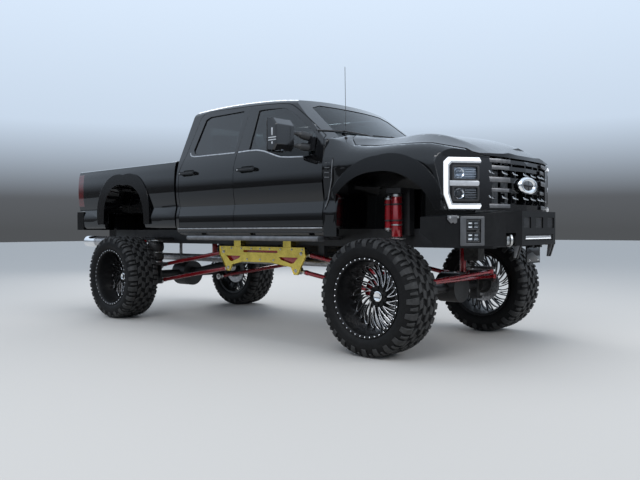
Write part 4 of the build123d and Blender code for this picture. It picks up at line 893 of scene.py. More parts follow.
def makeBumperLights(setting):
    origin, across = Vector(setting["lampFace"][0]), Vector(setting["lampFace"][1]).normalized()
    up = Vector((0, 0, 1))
    out = Vector((across.y, -across.x, 0))
    plane = (up.cross(out), up)  # a slab on it grows outwards
    cube, glass = roundedPane(0.069, 0.042, 0.008), roundedPane(0.061, 0.034, 0.006)
    cell, bulb = roundedPane(0.023, 0.012, 0.004), roundedPane(0.017, 0.0045, 0.002)
    whole = bmesh.new()
    for v in setting["cubes"]:
        place = origin + out * -0.0065 + up * v
        addTo(whole, slab(cube, place, *plane, 0.006, 0.001, 0, glass))
        addTo(whole, slab(glass, place + out * 0.0025, *plane, 0.0015, 0, 2))
        for u in (-0.030, 0.030):
            for w in (-0.016, 0.016):
                spot = place + plane[0] * u + up * w
                addTo(whole, slab(cell, spot, *plane, 0.0022, 0, 1, bulb))
                addTo(whole, slab(bulb, spot, *plane, 0.0012, 0, 3 if u > 0 else 4))
    latch = origin + plane[0] * -0.045 + out * -0.004
    addTo(whole, slab(roundedPane(0.016, 0.004, 0.002), latch, *plane, 0.004, 0, 1))
    bezel = roundedPane(0.122, 0.121, 0.006, (0.012, 0), 1)
    opening = roundedPane(0.075, 0.097, 0.003, (0, 0), 1)
    addTo(whole, slab(bezel, origin + out * -0.001, *plane, 0.005, 0.0015, 5, opening))
    whole = bothSides(whole)
    bar, half = (noseX - 0.008, 0, setting["barZ"]), setting["barHalf"]
    addTo(whole, slab(roundedPane(half, 0.021, 0.006), bar, *toFront, 0.004, 0.001, 0,
                      roundedPane(half - 0.007, 0.015, 0.004)))
    long, cells = 2 * half - 0.020, setting["barCells"]
    for low, high, finish in ((0.001, 0.012, 4), (-0.014, -0.004, 3)):
        for i in range(cells):
            left = -half + 0.010 + i * long / cells
            right = left + long / cells - 0.003
            field = ((left, low), (right, low), (right, high), (left, high))
            addTo(whole, slab(field, bar, *toFront, 0.0025, 0, finish))
    for y, halfWide in setting["windows"]:
        spot = Vector((noseX - 0.014, y, 1.1595))
        pane = roundedPane(halfWide - 0.010, 0.037, 0.006)
        addTo(whole, slab(roundedPane(halfWide, 0.0465, 0.006), spot, *toFront, 0.004, 0.001, 0, pane))
        addTo(whole, slab(pane, spot, *toFront, 0.0015, 0, 0))
        for i in range(setting["windowRibs"]):
            shift = (i - (setting["windowRibs"] - 1) / 2) * setting["ribPitch"]
            if abs(shift) < halfWide - 0.014:
                rib = roundedPane(0.0025, 0.034, 0.001, turns=1)
                addTo(whole, slab(rib, spot + Vector((0.0015, shift, 0)), *toFront, 0.004, 0, 5))
    return whole


putPiece("bumper_lights", makeBumperLights(bumperSet), "chassis",
         ("plasticBlack", "chrome", "lensClear", "lampWhite", "lampGrey", "plasticGrey"), smooth=35)


def makeBumperFittings(setting):
    origin, across = Vector(setting["hookFace"][0]), Vector(setting["hookFace"][1]).normalized()
    out = Vector((across.y, -across.x, 0))
    hook = tube([origin + out * w + Vector((0, 0, z)) for w, z in setting["hookPath"]], 0.012, 16, 0)
    whole = gather(hook, lathe(origin + out * -0.059, origin, setting["hookPlate"], 24, 0))
    for y in setting["strutY"]:
        addTo(whole, slab(setting["strut"], (noseX, y, 0), *toRight, 0.003, 0.0008, 1))
    tabX, tabY, line = noseX - 0.301, 0.953, Vector(setting["tabLine"])
    addTo(whole, slab(setting["tab"], (tabX, tabY, 1.186), line, (0, 0, 1), -0.006, 0.001, 1))
    for u in (-0.040, 0.035):
        spot = Vector((tabX, tabY, 1.200)) + line * u + Vector((0.0053, 0.0028, 0))
        addTo(whole, bolt(spot, (0.888, 0.46, 0), 0.007, 0))
    whole = bothSides(whole)
    addTo(whole, slab(roundedPane(0.132, 0.074, 0.012), (noseX - 0.057, 0, 0.886), *toFront, 0.003, 0.001, 2))
    for y, z in setting["plateBolts"]:
        addTo(whole, bolt((noseX - 0.054, y, z), (1, 0, 0), 0.006, 0))
    return whole


putPiece("bumper_fittings", makeBumperFittings(bumperSet), "chassis",
         ("steelBolt", "stepGrey", "plasticGloss"), smooth=35)
print("bumper dressed")

# Suspension: eyes of the links as in the frame, each with its jam nut, shank and through bolt
linkSet = {
    "rows": (
        ((-0.470, 0.5097, 0.850), (rearAxleX + 0.090, 0.5097, 0.640)),
        ((-0.390, 0.5097, 0.665), (rearAxleX + 0.090, 0.5097, 0.440)),
        ((0.790, 0.5097, 0.850), (frontAxleX - 0.080, 0.470, 0.620)),
        ((0.710, 0.5097, 0.665), (frontAxleX - 0.080, 0.470, 0.440)),
    ),
    "eye": ((-0.030, 0.024), (-0.030, 0.040), (-0.026, 0.043), (0.026, 0.043), (0.030, 0.040),
            (0.030, 0.024)),
    "bush": ((-0.033, 0.0), (-0.033, 0.019), (-0.0315, 0.026), (0.0315, 0.026), (0.033, 0.019),
             (0.033, 0.0)),
    "barRadius": 0.0235,
    "shank": ((0, 0), (0, 0.021), (0.040, 0.0165), (0.090, 0.0165), (0.090, 0)),
    "jamNut": ((0, 0), (0, 0.024), (0.002, 0.026), (0.016, 0.026), (0.018, 0.024), (0.018, 0)),
    "collar": ((0, 0), (0, 0.025), (0.003, 0.027), (0.030, 0.027), (0.036, 0.0235), (0.036, 0)),
}


def makeLinks(setting):
    whole = bmesh.new()
    for near, far in setting["rows"]:
        near, far = Vector(near), Vector(far)
        run = (far - near).normalized()
        long = (far - near).length
        addTo(whole, rod(near + run * 0.118, far - run * 0.118, setting["barRadius"], 28, 0.004, 0))
        for spot, way in ((near, run), (far, -run)):
            side = Vector((0, 1, 0))
            addTo(whole, lathe(spot, spot + side, setting["eye"], 36, 1, True))
            addTo(whole, lathe(spot, spot + side, setting["bush"], 28, 2))
            addTo(whole, lathe(spot + way * 0.036, spot + way, setting["shank"], 24, 1))
            addTo(whole, lathe(spot + way * 0.080, spot + way, setting["jamNut"], 6, 1))
            addTo(whole, lathe(spot + way * 0.098, spot + way, setting["collar"], 28, 0))
            for out in (1, -1):
                addTo(whole, bolt(spot + side * out * 0.033, side * out, 0.012, 1))
    return bothSides(whole)


putPiece("links_turned", makeLinks(linkSet), "chassis",
         ("redCoat", "steelBolt", "plasticBlack"), ("suspension_links",), 35)

shockSet = {
    "front": (frontAxleX - 0.080, 0.605), "rear": (rearAxleX - 0.140, 0.605),
    "reservoir": ((0, 0), (0, 0.024), (0.010, 0.034), (0.270, 0.034), (0.280, 0.024), (0.280, 0)),
    "endCap": ((-0.012, 0), (-0.012, 0.035), (0.004, 0.035), (0.010, 0.028), (0.010, 0.010), (0.022, 0.010),
               (0.022, 0)),
    # finish (0 red, 1 silver, 2 chrome, 3 black), then height above the lower eye and radius of each point
    "frontStack": (
        (1, ((0.0, 0.0), (0.0, 0.030), (0.006, 0.034), (0.040, 0.034), (0.050, 0.024), (0.050, 0.0))),
        (0, ((0.045, 0.0), (0.045, 0.032), (0.052, 0.034), (0.360, 0.034), (0.366, 0.030), (0.366, 0.0))),
        (2, ((0.360, 0.0), (0.360, 0.020), (0.420, 0.020), (0.420, 0.0))),
        (3, ((0.405, 0.0), (0.405, 0.040), (0.412, 0.046), (0.436, 0.046), (0.440, 0.040), (0.440, 0.0))),
        (0, ((0.436, 0.0), (0.436, 0.048), (0.442, 0.050), (0.560, 0.050), (0.800, 0.050), (0.806, 0.047),
             (0.806, 0.0))),
        (1, ((0.804, 0.0), (0.804, 0.044), (0.808, 0.048), (0.830, 0.048), (0.836, 0.040), (0.840, 0.026),
             (0.840, 0.0))),
        (1, ((0.412, 0.040), (0.412, 0.074), (0.415, 0.080), (0.423, 0.080), (0.426, 0.074),
             (0.426, 0.040))),
        (1, ((0.540, 0.049), (0.540, 0.0535), (0.552, 0.0535), (0.552, 0.049))),
        (1, ((0.730, 0.049), (0.730, 0.0535), (0.742, 0.0535), (0.742, 0.049))),
    ),
    "rearStack": (
        (1, ((0.0, 0.0), (0.0, 0.022), (0.005, 0.026), (0.030, 0.026), (0.036, 0.014), (0.036, 0.0))),
        (2, ((0.030, 0.0), (0.030, 0.014), (0.200, 0.014), (0.200, 0.0))),
        (3, ((0.180, 0.0), (0.180, 0.030), (0.184, 0.036), (0.196, 0.038), (0.206, 0.034), (0.206, 0.0))),
        (0, ((0.204, 0.0), (0.204, 0.036), (0.208, 0.038), (0.396, 0.038), (0.402, 0.034), (0.402, 0.0))),
        (1, ((0.400, 0.0), (0.400, 0.030), (0.404, 0.033), (0.409, 0.030), (0.409, 0.0))),
    ),
}


def makeShocks(setting):
    whole = bmesh.new()
    for place, low, rows in ((setting["front"], 0.600, "frontStack"),
                             (setting["rear"], 0.576, "rearStack")):
        start = Vector((*place, low))
        for finish, points in setting[rows]:
            closed = points[0][1] > 0.001
            addTo(whole, lathe(start, start + Vector((0, 0, 1)), points, 40, finish, closed))
    # Reservoir beside the front shock, held by two straps
    x, y = setting["front"]
    spot = Vector((x - 0.096, y, 1.110))
    addTo(whole, lathe(spot, spot + Vector((0, 0, 1)), setting["reservoir"], 36, 0))
    for end, far in ((-0.004, -1), (0.284, 1)):
        cap = spot + Vector((0, 0, end))
        addTo(whole, lathe(cap, cap + Vector((0, 0, far)), setting["endCap"], 32, 1))
    for z in (1.180, 1.330):
        for thick, start in ((0.0555, (x, y, z)), (0.0375, (x - 0.096, y, z))):
            strap = ((0, thick - 0.006), (0, thick), (0.014, thick), (0.014, thick - 0.006))
            addTo(whole, lathe(start, Vector(start) + Vector((0, 0, 1)), strap, 36, 3, True))
        addTo(whole, cutBlock(0.034, 0.020, 0.014, (x - 0.054, y, z + 0.007), 0.002), 3)
    addTo(whole, tube(((x - 0.096, y, 1.410), (x - 0.090, y, 1.424), (x - 0.072, y, 1.432),
                       (x - 0.046, y, 1.424)), 0.009, 12, 3))
    return bothSides(whole)


putPiece("shocks_turned", makeShocks(shockSet), "chassis",
         ("redBright", "steelBolt", "chrome", "plasticBlack"), ("shock_absorbers",), 35)

bellowsSet = {
    "place": (rearAxleX + 0.205, 0.655, 0.690),
    "sleeve": ((0.022, 0.076), (0.030, 0.092), (0.050, 0.101), (0.074, 0.105), (0.098, 0.101),
               (0.116, 0.090), (0.126, 0.083), (0.136, 0.083), (0.146, 0.090), (0.164, 0.101),
               (0.188, 0.105), (0.212, 0.105), (0.238, 0.101), (0.262, 0.090), (0.272, 0.078)),
    "rims": (
        ((0.0, 0.0), (0.0, 0.082), (0.005, 0.088), (0.016, 0.088), (0.024, 0.080), (0.024, 0.0)),
        ((0.270, 0.0), (0.270, 0.080), (0.278, 0.088), (0.290, 0.088), (0.295, 0.082), (0.295, 0.0)),
    ),
    "girdle": ((0.125, 0.078), (0.125, 0.088), (0.128, 0.091), (0.134, 0.091), (0.137, 0.088),
               (0.137, 0.078)),
}


def makeBellows(setting):
    start = Vector(setting["place"])
    top = start + Vector((0, 0, 1))
    whole = lathe(start, top, setting["sleeve"], 56, 0)
    for rim in setting["rims"]:
        addTo(whole, lathe(start, top, rim, 56, 1))
    addTo(whole, lathe(start, top, setting["girdle"], 56, 1, True))
    return bothSides(whole)


putPiece("bellows_turned", makeBellows(bellowsSet), "chassis", ("bellows", "steelBolt"),
         ("air_springs",), 40)

bracketSet = {
    "face": 0.5602,
    "bolts": ((-0.505, 0.892), (-0.330, 0.892), (-0.160, 0.892), (0.010, 0.892), (0.155, 0.892),
              (0.310, 0.892), (0.480, 0.892), (0.650, 0.892), (0.805, 0.892), (-0.470, 0.850),
              (-0.390, 0.665), (0.790, 0.850), (0.710, 0.665), (-0.060, 0.770), (0.155, 0.770),
              (0.370, 0.770)),
    "bigBolts": ((-0.470, 0.850), (-0.390, 0.665), (0.790, 0.850), (0.710, 0.665)),
    "infill": (
        ((-0.440, 0.820), (-0.378, 0.738), (-0.335, 0.728), (-0.190, 0.772), (-0.150, 0.820)),
        ((0.760, 0.820), (0.435, 0.820), (0.478, 0.772), (0.645, 0.728), (0.698, 0.738)),
        ((-0.135, 0.845), (0.445, 0.845), (0.445, 0.879), (-0.135, 0.879)),
    ),
    "edge": ((-0.543, 0.915), (0.845, 0.915), (0.850, 0.820), (0.735, 0.620), (0.690, 0.620),
             (0.650, 0.700), (0.330, 0.740), (-0.130, 0.740), (-0.330, 0.700), (-0.365, 0.628),
             (-0.415, 0.628), (-0.550, 0.820)),
}


def makeBracketTrim(setting):
    whole = bmesh.new()
    for x, z in setting["bolts"]:
        radius = 0.013 if (x, z) in setting["bigBolts"] else 0.0075
        addTo(whole, bolt((x, setting["face"], z), (0, 1, 0), radius, 0))
    for outline in setting["infill"]:
        addTo(whole, slab(outline, (0, 0.5365, 0), *toRight, -0.003, 0.0005, 1))
    # A folded lip runs round the plate's edge
    middle = Vector((0.155, 0.780))
    inner = []
    for x, z in setting["edge"]:
        inward = (middle - Vector((x, z))).normalized()
        inner.append((x + inward.x * 0.013, z + inward.y * 0.013 + (0.006 if z < 0.72 else 0)))
    addTo(whole, slab(setting["edge"], (0, 0.5585, 0), *toRight, -0.006, 0.0012, 2, inner))
    return bothSides(whole)


putPiece("bracket_trim", makeBracketTrim(bracketSet), "chassis",
         ("steelBolt", "redBright", "goldPlate"), smooth=35)
print("suspension dressed")

brakeSet = {
    "disc": ((-0.136, 0.107), (-0.136, 0.188), (-0.134, 0.190), (-0.128, 0.190), (-0.127, 0.150),
             (-0.121, 0.150), (-0.120, 0.190), (-0.114, 0.190), (-0.112, 0.188), (-0.112, 0.107)),
    "drilled": 24,
    "caliper": ((-0.088, 0.098), (-0.080, 0.168), (-0.040, 0.210), (0.040, 0.210), (0.080, 0.168),
                (0.088, 0.098), (0.060, 0.098), (0.050, 0.150), (-0.050, 0.150), (-0.060, 0.098)),
    "bridge": ((-0.078, 0.196), (-0.040, 0.212), (0.040, 0.212), (0.078, 0.196), (0.078, 0.176),
               (0.040, 0.193), (-0.040, 0.193), (-0.078, 0.176)),
    "piston": ((0, 0), (0, 0.020), (0.014, 0.020), (0.018, 0.014), (0.018, 0)),
    "caliperTurn": -70,  # degrees round the axle
}


def makeDisc(setting):
    whole = spinProfile(setting["disc"], 72, True, 0)
    pin = spinProfile(((-0.1365, 0.0), (-0.1365, 0.004), (-0.1115, 0.004), (-0.1115, 0.0)), 8, False, 1)
    for radius, turn in ((0.130, 0.0), (0.150, 0.09), (0.170, 0.18)):
        hole = pin.copy()
        bmesh.ops.translate(hole, verts=hole.verts, vec=(0, 0, radius))
        turnShape(hole, turn)
        addTo(whole, ringOf(hole, setting["drilled"]), 1)
    pin.free()
    return whole


def makeCaliper(setting):
    whole = gather(slab(setting["caliper"], (0, -0.108, 0), *toRight, -0.020, 0.004, 0),
                   slab(setting["caliper"], (0, -0.140, 0), *toRight, 0.026, 0.004, 0),
                   slab(setting["bridge"], (0, -0.092, 0), *toRight, 0.070, 0.003, 0))
    for x in (-0.042, 0.042):
        addTo(whole, lathe((x, -0.158, 0.168), (x, -1, 0.168), setting["piston"], 20, 1))
    return whole


discModel, caliperModel = makeDisc(brakeSet), makeCaliper(brakeSet)
holderOf = {"front_left": "knuckle_left", "front_right": "knuckle_right", "rear_left": "chassis",
            "rear_right": "chassis"}
for name, axleX, side in wheelPlaces:
    putPiece("disc_" + name, placeWheel(discModel, axleX, side), "wheel_" + name,
             ("alloy", "castIron"), smooth=35)
    clasp = turnShape(caliperModel.copy(), math.radians(brakeSet["caliperTurn"]))
    putPiece("caliper_" + name, placeWheel(clasp, axleX, side), holderOf[name],
             ("redCoat", "steelBolt"), smooth=35)
    clasp.free()
discModel.free()
caliperModel.free()
print("brakes made")

# Upper body trim: how far out the body's skin stands at each height
skinRows = ((1.265, 1.014), (1.372, 0.990), (1.520, 1.0136), (1.640, 1.017), (1.760, 1.0064),
            (1.850, 0.989), (1.925, 0.968), (2.400, 0.800))


def skinAt(z):
    for (z0, y0), (z1, y1) in zip(skinRows, skinRows[1:]):
        if z <= z1:
            return y0 + (y1 - y0) * (z - z0) / (z1 - z0)
    return skinRows[-1][1]


# A flat strip that lies on the skin through (x, z) points
def skinStrip(points, high, thick, finish=0, lift=0.0):
    whole = bmesh.new()
    rows = []
    for i, (x, z) in enumerate(points):
        x0, z0 = points[max(i - 1, 0)]
        x1, z1 = points[min(i + 1, len(points) - 1)]
        run = math.hypot(x1 - x0, z1 - z0)
        upX, upZ = -(z1 - z0) / run, (x1 - x0) / run
        row = []
        for share, out in ((-0.5, -0.002), (-0.5, thick * 0.7), (-0.25, thick), (0.25, thick),
                           (0.5, thick * 0.7), (0.5, -0.002)):
            px, pz = x + upX * high * share, z + upZ * high * share
            row.append(whole.verts.new((px, skinAt(pz) + out + lift, pz)))
        rows.append(row)
    for row in rows:
        for i in range(len(row)):
            whole.edges.new((row[i - 1], row[i]))
    for low, top in zip(rows, rows[1:]):
        loops = [edge for edge in whole.edges if set(edge.verts) <= set(low) or set(edge.verts) <= set(top)]
        bmesh.ops.bridge_loops(whole, edges=loops)
    bmesh.ops.contextual_create(whole, geom=rows[0])
    bmesh.ops.contextual_create(whole, geom=rows[-1])
    bmesh.ops.recalc_face_normals(whole, faces=whole.faces)
    return paint(whole, finish)


trimSet = {
    "front": {
        "belt": ((0.262, 1.932), (0.440, 1.935), (0.560, 1.930), (0.669, 1.910), (0.780, 1.874),
                 (0.860, 1.848), (0.927, 1.830), (1.040, 1.820), (1.174, 1.813), (1.235, 1.809)),
        "handle": (0.447, 1.734),
    },
    "rear": {
        "belt": ((-0.588, 1.992), (-0.574, 1.968), (-0.545, 1.950), (-0.500, 1.941), (-0.430, 1.938),
                 (-0.200, 1.936), (0.000, 1.933), (0.205, 1.931)),
        "handle": (-0.552, 1.752),
    },
}
keyCap = ((0, 0), (0, 0.0085), (0.002, 0.0085), (0.0035, 0.007), (0.0035, 0))


def makeDoorTrim(setting):
    whole = skinStrip(setting["belt"], 0.014, 0.005, 0)
    x, z = setting["handle"]
    addTo(whole, slab(roundedPane(0.112, 0.037, 0.036, turns=8), (x, 0.9975, z), *toLeft, 0.0015, 0, 1))
    # Keyed cap at the handle's rear end and a grip line along it
    addTo(whole, slab(roundedPane(0.120, 0.006, 0.005), (x, 1.0478, z), *toLeft, 0.0022, 0.0006, 2))
    addTo(whole, lathe((x - 0.118, 1.0475, z), (x - 0.118, 2, z), keyCap, 20, 0))
    return whole


for end in ("front", "rear"):
    putPair("trim_door_" + end, makeDoorTrim(trimSet[end]), "door_" + end,
            ("alloy", "liner", "plasticBlack"), 40)

# Door cards close the inside of each door below its glass
cardSet = {
    "front": {
        "outline": ((0.300, 1.215), (1.440, 1.215), (1.455, 1.790), (0.900, 1.800), (0.660, 1.880),
                    (0.300, 1.900)),
        "restX": 0.62,
    },
    "rear": {
        "outline": ((-0.660, 1.215), (0.180, 1.215), (0.180, 1.905), (-0.500, 1.905), (-0.640, 1.760)),
        "restX": -0.20,
    },
}
restZ = 1.55
# from the arm rest's middle: along, y, up
gripPath = ((-0.16, 0.880, 0.08), (-0.14, 0.850, 0.085), (0, 0.845, 0.088), (0.14, 0.850, 0.085),
            (0.16, 0.880, 0.08))


def makeCard(setting):
    restX = setting["restX"]
    whole = slab(setting["outline"], (0, 0.8955, 0), *toRight, 0.010, 0.004, 0)
    addTo(whole, cutBlock(0.520, 0.070, 0.060, (restX, 0.862, restZ), 0.018, 3), 1)
    addTo(whole, slab(roundedPane(0.200, 0.075, 0.030), (restX, 0.8858, 1.330), *toRight, 0.006, 0.002, 1,
                      roundedPane(0.188, 0.063, 0.024)))
    addTo(whole, tube([(restX + x, y, restZ + z) for x, y, z in gripPath], 0.008, 10, 2))
    return whole


for end, setting in cardSet.items():
    putPair("card_" + end, makeCard(setting), "door_" + end,
            ("plasticBlack", "clothDark", "alloy"))
print("doors dressed")

mirrorSet = {
    # upper and lower glass: half width, half height, middle y, middle z
    "glasses": ((0.098, 0.098, 1.247, 2.035), (0.098, 0.036, 1.247, 1.890)),
    # lamp strips on the outer side: x, z, half width, half height
    "strips": ((1.188, 2.020, 0.009, 0.036), (1.188, 1.9655, 0.052, 0.005), (1.188, 1.9425, 0.052, 0.005),
               (1.188, 1.915, 0.008, 0.011)),
    "arms": ((1.885, 1.915), (1.975, 2.045)),  # z at the base and at the head
    "sleeve": ((0, 0.014), (0, 0.030), (0.006, 0.036), (0.070, 0.039), (0.110, 0.036), (0.122, 0.026),
               (0.150, 0.022), (0.160, 0.022), (0.160, 0.014)),
}


def makeMirrorTrim(setting):
    whole = bmesh.new()
    for halfWide, halfHigh, y, z in setting["glasses"]:
        spot, pane = (1.1102, y, z), roundedPane(halfWide, halfHigh, 0.012)
        bezel = roundedPane(halfWide + 0.012, halfHigh + 0.010, 0.016)
        addTo(whole, slab(bezel, spot, *toBack, 0.008, 0.002, 1, pane))
        addTo(whole, slab(pane, spot, *toBack, 0.003, 0, 0))
    for x, z, halfWide, halfHigh in setting["strips"]:
        strip = roundedPane(halfWide, halfHigh, 0.003)
        addTo(whole, slab(strip, (x, 1.3648, z), *toLeft, 0.004, 0.001, 2))
    # Step lamp under the head
    addTo(whole, slab(roundedPane(0.040, 0.018, 0.008), (1.170, 1.250, 1.8555), *toDown, 0.004, 0.001, 3))
    # Sleeves where the arms leave the base and enter the head
    for baseZ, headZ in setting["arms"]:
        base, head = Vector((1.345, 0.930, baseZ)), Vector((1.190, 1.160, headZ))
        spot = base.lerp(head, 0.16)
        addTo(whole, lathe(spot, spot + (head - base).normalized(), setting["sleeve"], 32, 1, True))
    return whole


putPair("trim_mirror", makeMirrorTrim(mirrorSet), "door_front",
        ("chrome", "plasticBlack", "lampGrey", "lampBlue"))

ventSet = {
    "line": ((1.620, 1.755), (1.618, 1.650), (1.612, 1.560), (1.585, 1.470), (1.555, 1.390),
             (1.530, 1.320)),
    "blade": ((0, 0), (0.060, -0.006), (0.060, -0.014), (0, -0.012)),
    "blades": 4,
    "top": 1.735,
    "pitch": 0.045,
}


def makeVent(setting):
    strip = skinStrip(setting["line"], 0.010, 0.004, 0, 0.002)
    for i in range(setting["blades"]):
        z = setting["top"] - i * setting["pitch"]
        addTo(strip, slab(setting["blade"], (1.530, skinAt(z) + 0.001, z), *toRight, -0.006, 0.001, 1))
    return bothSides(strip)


putPiece("vent_trim", makeVent(ventSet), "chassis", ("stepGrey", "plasticGrey"), smooth=35)

wiperSet = {
    "pivots": ((0.520, 0.060), (-0.160, -0.640)),  # y of the foot and of the blade's middle
    "armRadius": 0.007,
    "foot": ((0, 0), (0, 0.018), (0.030, 0.018), (0.036, 0.012), (0.036, 0)),
    "bladeHalf": 0.30,
}
# The windscreen's outer face at its foot: height, x at the sides and in the middle, half width
screenSet = {"z": 1.965, "side": 1.532 - 0.008, "middle": 1.644 - 0.008, "halfWide": 0.780}


# Where that face stands, or a point lifted off it; it runs back 577 for a rise of 429
def screenAt(y, z, lift=0.0):
    side, middle = screenSet["side"], screenSet["middle"]
    radius = (screenSet["halfWide"] ** 2 + (middle - side) ** 2) / (2 * (middle - side))
    x = middle - radius + math.sqrt(radius ** 2 - y ** 2) - (z - screenSet["z"]) * 577 / 429
    return Vector((x + lift * 0.6, y, z + lift * 0.8))


def makeWipers(setting):
    whole = bmesh.new()
    for y0, y1 in setting["pivots"]:
        foot = screenAt(y0, 1.985, 0.010) + Vector((0.020, 0, -0.004))
        tip = screenAt(y1, 2.060, 0.020)
        knee = foot.lerp(tip, 0.12) + Vector((0.006, 0, 0.012))
        middle = foot.lerp(tip, 0.5) + Vector((0.010, 0, 0.014))
        addTo(whole, tube((foot, knee, middle, tip), setting["armRadius"], 10))
        addTo(whole, lathe(foot + Vector((0, 0, -0.020)), foot + Vector((0, 0, 1)), setting["foot"], 20))
        shares = [i / 8 - 0.5 for i in range(9)]
        blade = [screenAt(y1 + setting["bladeHalf"] * share * 2, 2.052 + 0.012 * math.cos(share * 3), 0.010)
                 for share in shares]
        addTo(whole, tube(blade, 0.0065, 8))
    return whole


putPiece("wipers", makeWipers(wiperSet), "chassis", ("plasticBlack",), smooth=40)

# Tail lamps: three blank fields under the red lens, and a grey reversing field
tailX = -3.170
tailSet = {
    "back": tailX + 0.1552,
    "y": 0.925,
    # middle z, half height, finish
    "fields": ((1.775, 0.068, 2), (1.640, 0.052, 2), (1.545, 0.030, 1), (1.480, 0.026, 2)),
}


def makeTailTrim(setting):
    whole = bmesh.new()
    for z, halfHigh, finish in setting["fields"]:
        spot, field = (setting["back"], setting["y"], z), roundedPane(0.039, halfHigh - 0.007, 0.008)
        addTo(whole, slab(roundedPane(0.046, halfHigh, 0.012), spot, *toBack, 0.004, 0.001, 0, field))
        addTo(whole, slab(field, spot, *toBack, 0.002, 0.0006, finish))
    return bothSides(whole)


putPiece("tail_lamp_fields", makeTailTrim(tailSet), "chassis",
         ("plasticGloss", "lampGrey", "lampRed"), smooth=35)

rearSet = {
    "tip": (-3.0505, -0.850, 0.955),
    "tipProfile": ((0.0, 0.0645), (-0.0015, 0.068), (0.0, 0.0725), (0.006, 0.0735), (0.250, 0.0735),
                   (0.256, 0.0705), (0.256, 0.0700)),
    "gateX": tailX + 0.154,
}


def makeExhaustTip(setting):
    spot = Vector(setting["tip"])
    return lathe(spot, spot + Vector((1, 0, 0)), setting["tipProfile"], 56, 0, True)


putPiece("exhaust_tip", makeExhaustTip(rearSet), "chassis", ("chrome",), smooth=40)


def makeGateTrim(setting):
    x = setting["gateX"]
    whole = slab(roundedPane(0.106, 0.022, 0.012), (x + 0.0352, 0, 1.812), *toBack, 0.002, 0, 1)
    addTo(whole, cutBlock(0.018, 0.150, 0.016, (x + 0.016, 0, 1.824), 0.005, 2), 0)
    for side in (1, -1):
        addTo(whole, cutBlock(0.022, 0.016, 0.026, (x + 0.022, side * 0.070, 1.822), 0.004), 0)
    addTo(whole, slab(roundedPane(0.700, 0.006, 0.004), (x - 0.0005, 0, 1.884), *toBack, 0.003, 0.0008, 0))
    return whole


putPiece("gate_trim", makeGateTrim(rearSet), "tailgate", ("plasticBlack", "liner"),
         smooth=35)


rearBumperSet = {
    "pads": ((0.0, 0.330), (0.530, 0.130), (-0.530, 0.130)),  # middle y, half width
    "ridges": 5,
    "ridgePitch": 0.026,
    "sensor": ((-0.001, 0), (-0.001, 0.012), (0.0015, 0.012), (0.0020, 0)),
    "sensorAt": (0.560, 1.225),
}


def makeRearBumperTrim(setting):
    whole = bmesh.new()
    for y, halfWide in setting["pads"]:
        for i in range(setting["ridges"]):
            x = tailX + 0.020 + i * setting["ridgePitch"]
            addTo(whole, slab(roundedPane(0.004, halfWide, 0.003), (x, y, 1.3578), *toUp, 0.004, 0.001, 0))
    recess = (tailX - 0.0005 + 0.004, 0, 1.235)
    addTo(whole, slab(roundedPane(0.150, 0.075, 0.010), recess, *toBack, 0.0035, 0.001, 0,
                      roundedPane(0.138, 0.063, 0.008)))
    y, z = setting["sensorAt"]
    for side in (1, -1):
        addTo(whole, lathe((tailX + 0.002, side * y, z), (tailX - 1, side * y, z), setting["sensor"], 24, 1))
    return whole


putPiece("rear_bumper_trim", makeRearBumperTrim(rearBumperSet), "chassis",
         ("plasticBlack", "plasticGrey"), smooth=35)

stepSet = {
    "pads": ((-0.300, 0.300), (0.560, 0.320)),  # middle x, half length
    "ridges": 15,
    "y": 1.005,
    "tubeEnds": ((-0.522, -1), (1.471, 1)),  # x, way it faces
}


def makeStepTrim(setting):
    whole = bmesh.new()
    y = setting["y"]
    for x, halfLong in setting["pads"]:
        addTo(whole, slab(roundedPane(halfLong, 0.028, 0.010), (x, y, 1.0425), *toUp, 0.004, 0.0012, 0))
        for i in range(setting["ridges"]):
            ridge = x - halfLong + 0.030 + i * (2 * halfLong - 0.060) / (setting["ridges"] - 1)
            addTo(whole, slab(roundedPane(0.006, 0.024, 0.003), (ridge, y, 1.0463), *toUp, 0.0025, 0.0006, 0))
    cap = roundedPane(0.0555, 0.0255, 0.0252, turns=8)
    for x, way in setting["tubeEnds"]:
        addTo(whole, slab(cap, (x, y, 1.018), (0, way, 0), (0, 0, 1), 0.008, 0.003, 1))
    return bothSides(whole)


putPiece("step_trim", makeStepTrim(stepSet), "chassis", ("plasticBlack", "plasticGrey"),
         smooth=35)
print("outer trim made")

# Bright line along the sill, and the blank lower cladding behind it
sillSet = {"from": -0.770, "to": 1.480, "z": 1.121}


def makeSill(setting):
    long = setting["to"] - setting["from"]
    middle = (setting["from"] + setting["to"]) / 2
    line, cladding = roundedPane(long / 2, 0.006, 0.004), roundedPane(long / 2 - 0.01, 0.010, 0.004)
    whole = slab(line, (middle, 0.9965, setting["z"]), *toLeft, 0.006, 0.0015, 0)
    addTo(whole, slab(cladding, (middle, 0.9835, 1.083), *toLeft, 0.004, 0.0012, 1))
    return bothSides(whole)


putPiece("sill_trim", makeSill(sillSet), "chassis", ("alloy", "plasticBlack"), smooth=35)

# Seats: crowned pads with rounded sides, and sewn channels across the middle
seatSet = {
    # middle y, width, back x of the cushion, sewn channels
    "places": ((0.420, 0.540, 0.230, 3), (-0.420, 0.540, 0.230, 3), (0.0, 1.400, -0.620, 9)),
    "cushion": (0.520, 0.145), "back": (0.640, 0.120), "headRest": (0.105, 0.270, 0.180), "lean": -9.0,
    "channelDepth": 0.007,
    "channelled": (0.82, 0.86),  # share of the length and of the width that the channels reach
    "rearRests": (-0.45, 0.0, 0.45),
}


